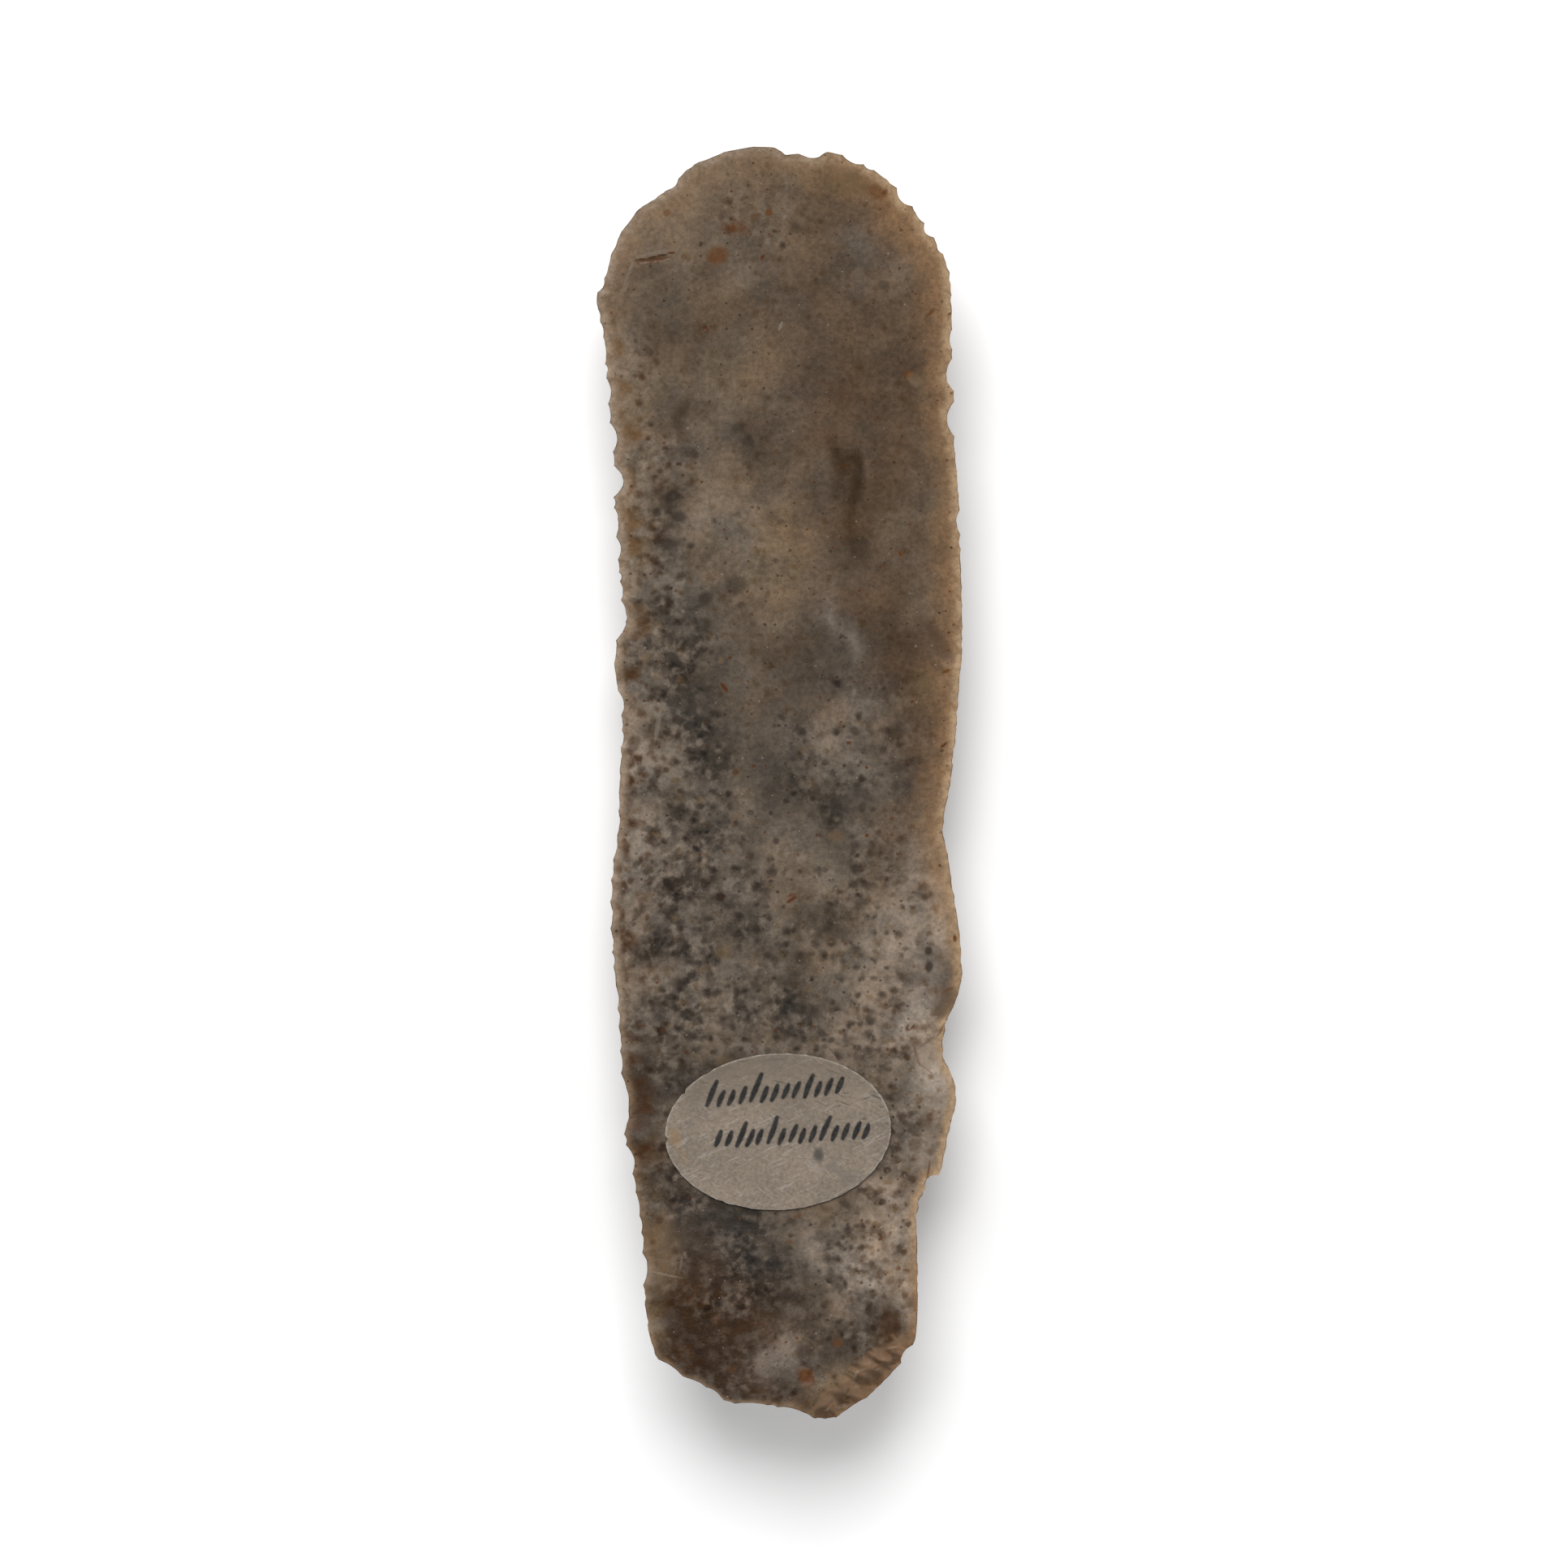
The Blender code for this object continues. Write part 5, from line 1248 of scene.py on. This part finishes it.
def ink_cover(x, y):
    """How much ink lies at each place of the label, from 0 to 1."""
    strokes = ink_strokes()
    tree = search_tree(strokes[:, :2])
    cover = np.zeros_like(x)
    for place, (px, py) in enumerate(zip(x, y)):
        _, index, distance = tree.find((px, py, 0))
        half = INK_WIDTH / 2 * strokes[index, 2]
        cover[place] = min(1.0, max(0.0, (half + INK_EDGE - distance) / (2 * INK_EDGE)))
    return cover


def make_label(flakes):
    """Thin paper oval that follows the face, a little proud of it at the cut edge."""
    outline = label_outline()
    upper_xy = thinned(label_field(outline, LABEL_EDGE_ROWS, LABEL_SPACING), 0.04)
    upper_xy, upper_faces = triangulate(outline, upper_xy)
    lower_xy = thinned(label_field(outline, UNDERSIDE_ROWS, UNDERSIDE_SPACING), 0.1)
    lower_xy, lower_faces = triangulate(outline, lower_xy)

    source = random.Random(SEEDS["curl"])
    count = len(outline)
    plan = np.vstack([outline, upper_xy, outline, lower_xy])
    upper = np.arange(len(plan)) < count + len(upper_xy)
    reach = mark_distance(*plan.T, (*LABEL_CENTRE, LABEL_LENGTH / 2, LABEL_WIDTH / 2, LABEL_DEGREES))
    curl, start, *lengths = LABEL_CURL
    lifted = curl * np.clip((reach - start) / (1 - start), 0, 1) * (1 + waves(*plan.T, source, *lengths))
    height, *lengths = LABEL_COCKLE
    cockle = height * waves(*plan.T, source, *lengths)
    heights = struck_face_relief(*plan.T, flakes) + LABEL_LIFT + np.clip(lifted, 0, None)
    wear, start = LABEL_WEAR
    worn = wear * np.clip((reach - start) / (1 - start), 0, 1)
    heights = heights + np.where(upper, LABEL_PAPER + cockle - worn, 0)
    vertices = np.column_stack([plan, np.minimum(heights, CAD_HIGH.z / MM)])

    shift = count + len(upper_xy)
    faces = [tuple(face) for face in upper_faces]
    faces += [tuple(i + shift for i in face)[::-1] for face in lower_faces]
    for index in range(count):
        following = (index + 1) % count
        faces.append((shift + index, shift + following, following, index))
    rough = warped(*plan.T, random.Random(SEEDS["paper marks"]), *PAPER_WARP)
    stained = marked(*rough, PAPER_MARKS, PAPER_SOFTNESS, PAPER_SOFTNESS)
    attributes = {
        "ink": np.where(upper, ink_cover(*plan.T), 0),
        "stain": np.where(upper[:, None], stained, 0),
        "cut": np.clip(reach, 0, 1.1),
    }
    return mesh_object("paper_label_dressed", vertices, faces, paper_material(), attributes)


# ---------------------------------------------------------------- materials

# Noise: the size of its features in millimetres, detail, roughness, shift, the range of the
# noise that counts, and the values that it becomes at that range's start and end.
PATCHES = {
    "clusters": (3.2, 2.0, 0.5, (31.0, 7.0, 2.0), 0.36, 0.6, 0.45, 1.15),
    "drift": (3.2, 4.0, 0.62, (7.0, 3.0, 5.0), 0.3, 0.7, 0.62, 1.33),
    "warmth": (5.0, 3.0, 0.5, None, 0.3, 0.7, 0.0, 1.0),
    "wisps": (1.0, 3.0, 0.55, (2.0, 9.0, 1.0), 0.44, 0.66, 0.0, 0.8),
    "blots": (1.7, 3.0, 0.55, (12.0, 5.0, 7.0), 0.49, 0.64, 0.0, 1.0),
    "toothed_edge_light": (0.9, 3.0, 0.5, (8.0, 1.0, 4.0), 0.35, 0.6, 0.4, 1.0),
    "uneven lit rim": (1.6, 3.0, 0.5, None, 0.3, 0.7, -0.12, 0.16),
    "glow": (1.0, 3.0, 0.5, None, 0.3, 0.6, 0.3, 1.0),
    "grain": (0.45, 4.0, 0.8, None, 0.28, 0.72, 0.74, 1.26),
    "dark_edge_line": (0.7, 3.0, 0.5, None, 0.4, 0.6, 0.0, 0.8),
    "flint gloss": (1.2, 4.0, 0.6, None, 0.25, 0.75, 0.27, 0.38),
    "paper tone": (3.5, 3.0, 0.5, None, 0.3, 0.7, 0.90, 1.08),
    "paper speckle": (0.32, 4.0, 0.8, None, 0.3, 0.7, 0.72, 1.24),
    "frayed": (0.5, 3.0, 0.5, None, 0.35, 0.6, 0.0, 1.0),
    "uneven ink": (0.35, 3.0, 0.6, None, 0.3, 0.6, 0.9, 1.0),
    "paper gloss": (0.6, 3.0, 0.5, None, 0.3, 0.7, 0.78, 0.92),
    "floor": (25.0, 2.0, 0.5, None, 0.3, 0.7, 0.93, 0.95),
}

# Round dots, one to a cell at most: size of a cell, smallest and largest radius, softness,
# share of the cells that are filled, shift, size and amount of the bending, strength.
Dots = namedtuple("Dots", "cell smallest largest softness filled shift bend bent_by strength")
SPOT_LAYERS = (
    Dots(2.4, 0.6, 1.2, 0.95, 0.75, (4.0, 17.0, 3.0), 1.92, 0.6, 0.65),
    Dots(1.35, 0.36, 0.7, 0.8, 0.95, (15.0, 2.0, 9.0), 1.08, 0.3375, 0.9),
    Dots(1.05, 0.3, 0.55, 0.95, 0.7, (11.0, 27.4, 5.3), 0.84, 0.2625, 0.85),
    Dots(0.85, 0.18, 0.34, 0.9, 0.35, (3.7, 43.1, 1.8), 0.68, 0.2125, 0.35),
)
OCHRE_DOTS = Dots(1.5, 0.2, 0.55, 0.8, 0.35, (6.0, 31.0, 2.0), 0.8, 0.5, 0.6)
BROWN_MOTTLES = Dots(1.25, 0.25, 0.65, 0.9, 0.4, (9.0, 41.0, 6.0), 0.7, 0.35, 1.0)
PALE_BLOOMS = Dots(1.6, 0.3, 0.75, 0.9, 0.7, (2.0, 51.0, 4.0), 1.0, 0.4, 0.28)
SPECKS = (
    (Dots(1.1, 0.08, 0.18, 0.5, 0.3, (11.0, 4.0, 2.0), 0.3, 0.05, 0.75), "dark"),
    (Dots(1.9, 0.08, 0.2, 0.5, 0.4, (21.0, 14.0, 3.0), 0.3, 0.1, 0.8), "rust"),
    (Dots(1.6, 0.05, 0.11, 0.5, 0.3, (3.0, 14.0, 6.0), 0.3, 0.05, 0.6), "white"),
)
PITS = Dots(0.9, 0.05, 0.16, 0.9, 0.35, (5.0, 8.0, 12.0), 0.4, 0.1, 0.8)
PAPER_SPECKS = Dots(0.75, 0.06, 0.16, 0.5, 0.45, (5.0, 3.0, 1.0), 0.3, 0.15, 0.7)

# The stone's colour is multiplied by these.
COOL_TINT = (0.95, 1.0, 1.06, 1)
WARM_TINT = (1.06, 1.0, 0.93, 1)
BLOT_TINT = (0.45, 0.43, 0.42, 1)
INNER_SPOT_TINT = (0.28, 0.255, 0.25, 1)
OUTER_SPOT_TINT = (0.42, 0.29, 0.19, 1)
MOTTLE_TINT = (0.76, 0.66, 0.52, 1)

# Where a field steps from 0 to 1: distances from the edge, places along the blade or across it.
OUTER_SPOTS = (7.0, 2.5)        # spots are browner near the edge
UPPER_FRINGE = (5.0, 22.0)      # the painted warm light in its hollows is lighter further up
RIGHT_SIDE = (-2.0, 10.0)       # the rim's painted light is warmer on the right
PAST_CRUSH = (-40.0, -26.0)     # the crushed front has no line of light
LIT_LINE = (1.1, 0.0)
DARK_EDGE_LINE = (0.1, 0.02)

FLINT_SPECULAR = 0.15
FLINT_BUMP = (0.35, 0.00004)    # strength, and depth in metres
PAPER_BUMP = (0.5, 0.00003)
FLOOR_ROUGHNESS = 0.9
# The plan fans out with height, so that nothing painted in it is drawn out down the sides:
# for both axes, its growth for each millimetre of height, and its size at the table.
PLAN_FAN = ((0.035, 0.64), (0.012, 0.877))


def paint(name):
    """A named colour, as a material takes it."""
    return (*seen(COLOURS[name]), 1)


class Nodes:
    """A material, with short ways to add shader nodes and join them."""

    def __init__(self, name):
        self.material = bpy.data.materials.new(name)
        self.material.use_nodes = True
        self.tree = self.material.node_tree
        self.shader = self.tree.nodes["Principled BSDF"]
        place = self.add("ShaderNodeTexCoord").outputs["Object"]
        scale = {0: place, 3: 1 / MM}
        self.place = self.add("ShaderNodeVectorMath", scale, operation="SCALE").outputs[0]
        x, y, z = (self.dot(self.place, axis) for axis in ((1, 0, 0), (0, 1, 0), (0, 0, 1)))
        fanned = [
            self.times(value, self.maths("MULTIPLY_ADD", z, *fan)) for value, fan in zip((x, y), PLAN_FAN)
        ]
        self.plan = self.add("ShaderNodeCombineXYZ", dict(enumerate(fanned))).outputs[0]

    def add(self, kind, sockets=None, **settings):
        """A node with these settings; sockets gives a value or a link for each input."""
        node = self.tree.nodes.new(kind)
        for setting, value in settings.items():
            setattr(node, setting, value)
        for socket, value in (sockets or {}).items():
            if isinstance(value, bpy.types.NodeSocket):
                self.tree.links.new(value, node.inputs[socket])
            else:
                node.inputs[socket].default_value = value
        return node

    def attribute(self, name, output="Fac"):
        return self.add("ShaderNodeAttribute", attribute_name=name).outputs[output]

    def dot(self, vector, direction):
        sockets = {0: vector, 1: direction}
        return self.add("ShaderNodeVectorMath", sockets, operation="DOT_PRODUCT").outputs["Value"]

    def maths(self, operation, *values):
        sockets = dict(enumerate(values))
        return self.add("ShaderNodeMath", sockets, operation=operation).outputs[0]

    def times(self, first, second):
        return self.maths("MULTIPLY", first, second)

    def span(self, value, start, end, low=0.0, high=1.0):
        """A smooth step: low up to start, high from end on."""
        sockets = {"Value": value, "From Min": start, "From Max": end, "To Min": low, "To Max": high}
        return self.add("ShaderNodeMapRange", sockets, interpolation_type="SMOOTHSTEP").outputs[0]

    def mix(self, share, first, second, blend="MIX"):
        sockets = {0: share, 6: first, 7: second}
        node = self.add("ShaderNodeMix", sockets, data_type="RGBA", blend_type=blend)
        return node.outputs[2]

    def scaled(self, colour, factor):
        return self.mix(1.0, colour, factor, "MULTIPLY")

    def tinted(self, colour, share, tint):
        return self.mix(share, colour, self.scaled(colour, tint))

    def painted(self, colour, share, name):
        return self.mix(share, colour, paint(name))

    def marked(self, colour):
        """The colour below the small marks, whose own is stored times their strength."""
        covered = self.mix(self.attribute("stain", "Alpha"), colour, (0.0, 0.0, 0.0, 1))
        return self.mix(1.0, covered, self.attribute("stain", "Color"), "ADD")

    def moved(self, place, shift):
        return self.add("ShaderNodeVectorMath", {0: place, 1: shift}, operation="ADD").outputs[0]

    def noise(self, size, detail=3.0, roughness=0.5, place=None):
        """Noise with features of about this size in millimetres."""
        sockets = {"Vector": place or self.place, "Scale": 1 / size}
        sockets.update({"Detail": detail, "Roughness": roughness})
        return self.add("ShaderNodeTexNoise", sockets).outputs[0]

    def patches(self, name):
        """Soft patches of noise, as named in PATCHES."""
        size, detail, roughness, shift, start, end, low, high = PATCHES[name]
        place = self.moved(self.place, shift) if shift else None
        return self.span(self.noise(size, detail, roughness, place), start, end, low, high)

    def bent(self, shift, size, amount):
        """The plan, moved and pushed about by noise of this size, so that dots lose their roundness."""
        sockets = {"Vector": self.moved(self.place, shift), "Scale": 1 / size, "Detail": 2.0}
        push = self.add("ShaderNodeTexNoise", sockets).outputs["Color"]
        reach = (2 * amount, 2 * amount, 0.0)
        sockets = {0: push, 1: reach, 2: self.moved(self.plan, shift)}
        return self.add("ShaderNodeVectorMath", sockets, operation="MULTIPLY_ADD").outputs[0]

    def dots(self, layer, density=None):
        """0 outside a layer's dots and up to 1 in them; density thins them out."""
        place = self.bent(layer.shift, layer.bend, layer.bent_by)
        sockets = {"Vector": place, "Scale": 1 / layer.cell}
        cells = self.add("ShaderNodeTexVoronoi", sockets, voronoi_dimensions="2D")
        chance = self.add("ShaderNodeSeparateColor", {0: cells.outputs["Color"]})
        sizes = {"To Min": layer.smallest / layer.cell, "To Max": layer.largest / layer.cell}
        radius = self.add("ShaderNodeMapRange", {"Value": chance.outputs[0], **sizes}).outputs[0]
        dot = self.span(cells.outputs["Distance"], radius, self.times(radius, 1 - layer.softness))
        filled = self.times(density, layer.filled) if density else layer.filled
        shown = self.span(self.maths("SUBTRACT", filled, chance.outputs[1]), 0.0, 0.12)
        strength = self.span(chance.outputs[2], 0.0, 1.0, 0.55, 1.0)
        return self.times(self.times(self.times(dot, shown), strength), layer.strength)

    def complete(self, colour, roughness, relief, bump):
        """Joins the colour, the roughness and a fine relief to the shader."""
        strength, depth = bump
        sockets = {"Strength": strength, "Distance": depth, "Height": relief}
        normal = self.add("ShaderNodeBump", sockets).outputs[0]
        for socket, value in (("Base Color", colour), ("Roughness", roughness), ("Normal", normal)):
            self.tree.links.new(value, self.shader.inputs[socket])
        return self.material


def flint_material():
    nodes = Nodes("mottled_flint")
    edge, rim, toothed_light_share = (nodes.attribute(name) for name in ("edge", "rim", "toothed_edge_light"))
    density = nodes.times(nodes.attribute("spots"), nodes.patches("clusters"))

    # clouds, with a drift of light and dark and of warm and cool
    colour = nodes.attribute("cloud", "Color")
    drifted = nodes.scaled(colour, nodes.patches("drift"))
    colour = nodes.mix(nodes.span(density, 0.0, 0.5, 0.6, 1.0), colour, drifted)
    colour = nodes.scaled(colour, nodes.mix(nodes.patches("warmth"), COOL_TINT, WARM_TINT))

    # a milky web among dark blots
    colour = nodes.painted(colour, nodes.times(nodes.patches("wisps"), density), "milk")
    colour = nodes.tinted(colour, nodes.times(nodes.patches("blots"), density), BLOT_TINT)

    # soft dark spots that run together, and small ochre ones
    near_edge = nodes.maths("MAXIMUM", nodes.span(edge, *OUTER_SPOTS), nodes.span(rim, 1.6, 0.6))
    spot_tint = nodes.mix(near_edge, INNER_SPOT_TINT, OUTER_SPOT_TINT)
    for layer in SPOT_LAYERS:
        colour = nodes.tinted(colour, nodes.dots(layer, density), spot_tint)
    colour = nodes.painted(colour, nodes.dots(OCHRE_DOTS, density), "ochre")

    # soft brown mottles everywhere, and pale ones in the milky web
    colour = nodes.tinted(colour, nodes.dots(BROWN_MOTTLES), MOTTLE_TINT)
    colour = nodes.painted(colour, nodes.dots(PALE_BLOOMS, density), "pale")

    # brown hollows and pale crests of the toothed edge: painted warm light through the thin stone, and
    # painted highlights on the crests
    patchy = nodes.patches("toothed_edge_light")
    higher_up = nodes.span(nodes.dot(nodes.place, (0.0, 1.0, 0.0)), *UPPER_FRINGE)
    hollows = nodes.times(nodes.span(toothed_light_share, 0.05, 0.7, 0.0, 0.95), patchy)
    colour = nodes.mix(hollows, colour, nodes.mix(higher_up, paint("hollow"), paint("caramel")))
    crest_highlights = nodes.times(nodes.span(toothed_light_share, -0.05, -0.6, 0.0, 0.75), patchy)
    colour = nodes.painted(colour, crest_highlights, "pale")

    # the warm rim, painted light that shines through the thin edge, and the thin line of light in the
    # sharp edge
    to_the_right = nodes.span(nodes.dot(nodes.place, (1.0, 0.0, 0.0)), *RIGHT_SIDE)
    lit_rim = nodes.span(nodes.maths("ADD", rim, nodes.patches("uneven lit rim")), 1.15, -0.3, 0.0, 0.9)
    colour = nodes.mix(lit_rim, colour, nodes.mix(to_the_right, paint("tan"), paint("honey")))
    past_crush = nodes.span(nodes.dot(nodes.place, (0.7, 1.0, 0.0)), *PAST_CRUSH)
    lit = nodes.times(nodes.span(edge, *LIT_LINE), nodes.times(nodes.patches("glow"), past_crush))
    colour = nodes.mix(lit, colour, nodes.mix(to_the_right, paint("light"), paint("glow")))

    # fine grain and tiny specks, the named marks, and a thin dark line in the sharp edge itself
    colour = nodes.scaled(colour, nodes.patches("grain"))
    for layer, name in SPECKS:
        colour = nodes.painted(colour, nodes.dots(layer), name)
    colour = nodes.marked(colour)
    dark_edge_line = nodes.times(nodes.span(edge, *DARK_EDGE_LINE), nodes.patches("dark_edge_line"))
    colour = nodes.painted(colour, dark_edge_line, "dark")

    nodes.shader.inputs["Specular IOR Level"].default_value = FLINT_SPECULAR
    relief = nodes.maths("MULTIPLY_ADD", nodes.noise(1.4, 2.0), 2.5, nodes.noise(0.22, 3.0, 0.6))
    relief = nodes.maths("SUBTRACT", relief, nodes.dots(PITS))
    return nodes.complete(colour, nodes.patches("flint gloss"), relief, FLINT_BUMP)


def paper_material():
    nodes = Nodes("old_label_paper")
    colour = nodes.scaled(paint("paper"), nodes.patches("paper tone"))
    colour = nodes.scaled(colour, nodes.patches("paper speckle"))
    for degrees, size, start, name, strength, upper_only in PAPER_FIBRES:
        turn = math.radians(degrees)
        along = nodes.dot(nodes.place, (math.cos(turn), math.sin(turn), 0.0))
        across = nodes.dot(nodes.place, (-math.sin(turn), math.cos(turn), 0.0))
        stretched = {0: nodes.times(along, 0.12), 1: across, 2: float(degrees)}
        place = nodes.add("ShaderNodeCombineXYZ", stretched).outputs[0]
        share = nodes.span(nodes.noise(size, 2.0, 0.5, place), start, start + 0.06, 0.0, strength)
        if upper_only:
            height = nodes.dot(nodes.place, (0.2, 1.0, 0.0))
            share = nodes.times(share, nodes.span(height, -30.0, -27.0))
        colour = nodes.painted(colour, share, name)
    colour = nodes.painted(colour, nodes.dots(PAPER_SPECKS), "grime")
    colour = nodes.marked(colour)
    frayed = nodes.times(nodes.span(nodes.attribute("cut"), 0.975, 1.0), nodes.patches("frayed"))
    colour = nodes.painted(colour, frayed, "fibre")
    ink = nodes.times(nodes.attribute("ink"), nodes.patches("uneven ink"))
    colour = nodes.painted(colour, ink, "ink")
    relief = nodes.maths("MULTIPLY_ADD", nodes.noise(0.9), 1.5, nodes.noise(0.12, 3.0, 0.65))
    return nodes.complete(colour, nodes.patches("paper gloss"), relief, PAPER_BUMP)


def floor_material():
    nodes = Nodes("pale_floor")
    shade = nodes.patches("floor")
    grey = nodes.add("ShaderNodeCombineColor", {0: shade, 1: shade, 2: shade}).outputs[0]
    nodes.tree.links.new(grey, nodes.shader.inputs["Base Color"])
    nodes.shader.inputs["Roughness"].default_value = FLOOR_ROUGHNESS
    return nodes.material


# ---------------------------------------------------------------- studio

FLOOR_SIZE = 4.0
SKY_LEVEL = 1.08
SKY_OVERHEAD = 0.06             # share of it that is left straight above, where a camera hangs
SKY_DARKENING = (0.58, 0.90)    # sines of the elevations between which it darkens
KEY_DIRECTION = (-0.15, 0.84, 1.20)
KEY_DISTANCE = 0.9
KEY_SIZE = 0.6
KEY_POWER = 7.7
LENS = 150.0
SENSOR = 36.0
VIEW_WIDTH = 0.13828            # what the camera sees across, at the height of the blade's ends
VIEW_CENTRE = (0.00036, -0.00011)
VIEW_HEIGHT = 0.0105


def make_floor():
    mesh = bpy.data.meshes.new("floor")
    half = FLOOR_SIZE / 2
    corners = [(-half, -half, 0), (half, -half, 0), (half, half, 0), (-half, half, 0)]
    mesh.from_pydata(corners, [], [(0, 1, 2, 3)])
    mesh.materials.append(floor_material())
    floor = bpy.data.objects.new("floor", mesh)
    bpy.context.scene.collection.objects.link(floor)


def make_lights():
    world = bpy.data.worlds.new("studio")
    world.use_nodes = True
    tree = world.node_tree
    direction = tree.nodes.new("ShaderNodeTexCoord").outputs["Generated"]
    parts = tree.nodes.new("ShaderNodeSeparateXYZ")
    tree.links.new(direction, parts.inputs[0])
    fading = tree.nodes.new("ShaderNodeMapRange")
    fading.interpolation_type = "SMOOTHSTEP"
    start, end = SKY_DARKENING
    values = {"From Min": start, "From Max": end, "To Min": SKY_LEVEL, "To Max": SKY_LEVEL * SKY_OVERHEAD}
    for name, value in values.items():
        fading.inputs[name].default_value = value
    tree.links.new(parts.outputs["Z"], fading.inputs["Value"])
    background = tree.nodes["Background"]
    background.inputs["Color"].default_value = (1.0, 1.0, 1.0, 1.0)
    tree.links.new(fading.outputs[0], background.inputs["Strength"])
    bpy.context.scene.world = world
    light = bpy.data.lights.new("softbox", "AREA")
    light.shape = "SQUARE"
    light.size = KEY_SIZE
    light.energy = KEY_POWER
    softbox = bpy.data.objects.new("softbox", light)
    direction = Vector(KEY_DIRECTION).normalized()
    softbox.location = direction * KEY_DISTANCE
    softbox.rotation_euler = direction.to_track_quat("Z", "Y").to_euler()
    bpy.context.scene.collection.objects.link(softbox)


def make_camera():
    data = bpy.data.cameras.new("camera")
    data.lens = LENS
    data.sensor_width = SENSOR
    camera = bpy.data.objects.new("camera", data)
    camera.location = (*VIEW_CENTRE, VIEW_HEIGHT + VIEW_WIDTH * LENS / SENSOR)
    bpy.context.scene.collection.objects.link(camera)
    bpy.context.scene.camera = camera
    bpy.context.scene.view_settings.view_transform = "Standard"


def main():
    edge = Edge()
    arcs = fine_arcs(edge)
    box_low = (CAD_LOW.x / MM, CAD_LOW.y / MM)
    box_high = (CAD_HIGH.x / MM, CAD_HIGH.y / MM)
    line = EdgeLine(edge, arcs, box_low, box_high)
    flakes = face_flakes(edge, random.Random(SEEDS["flakes"]))

    blade = make_blade(edge, line, arcs, flakes)
    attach(blade, "root")
    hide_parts("flint_blade")
    label = make_label(flakes)
    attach(label, "root")
    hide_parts("paper_label")

    make_floor()
    make_lights()
    make_camera()
    for piece in (blade, label):
        print(piece.name, len(piece.data.polygons), "faces")


main()
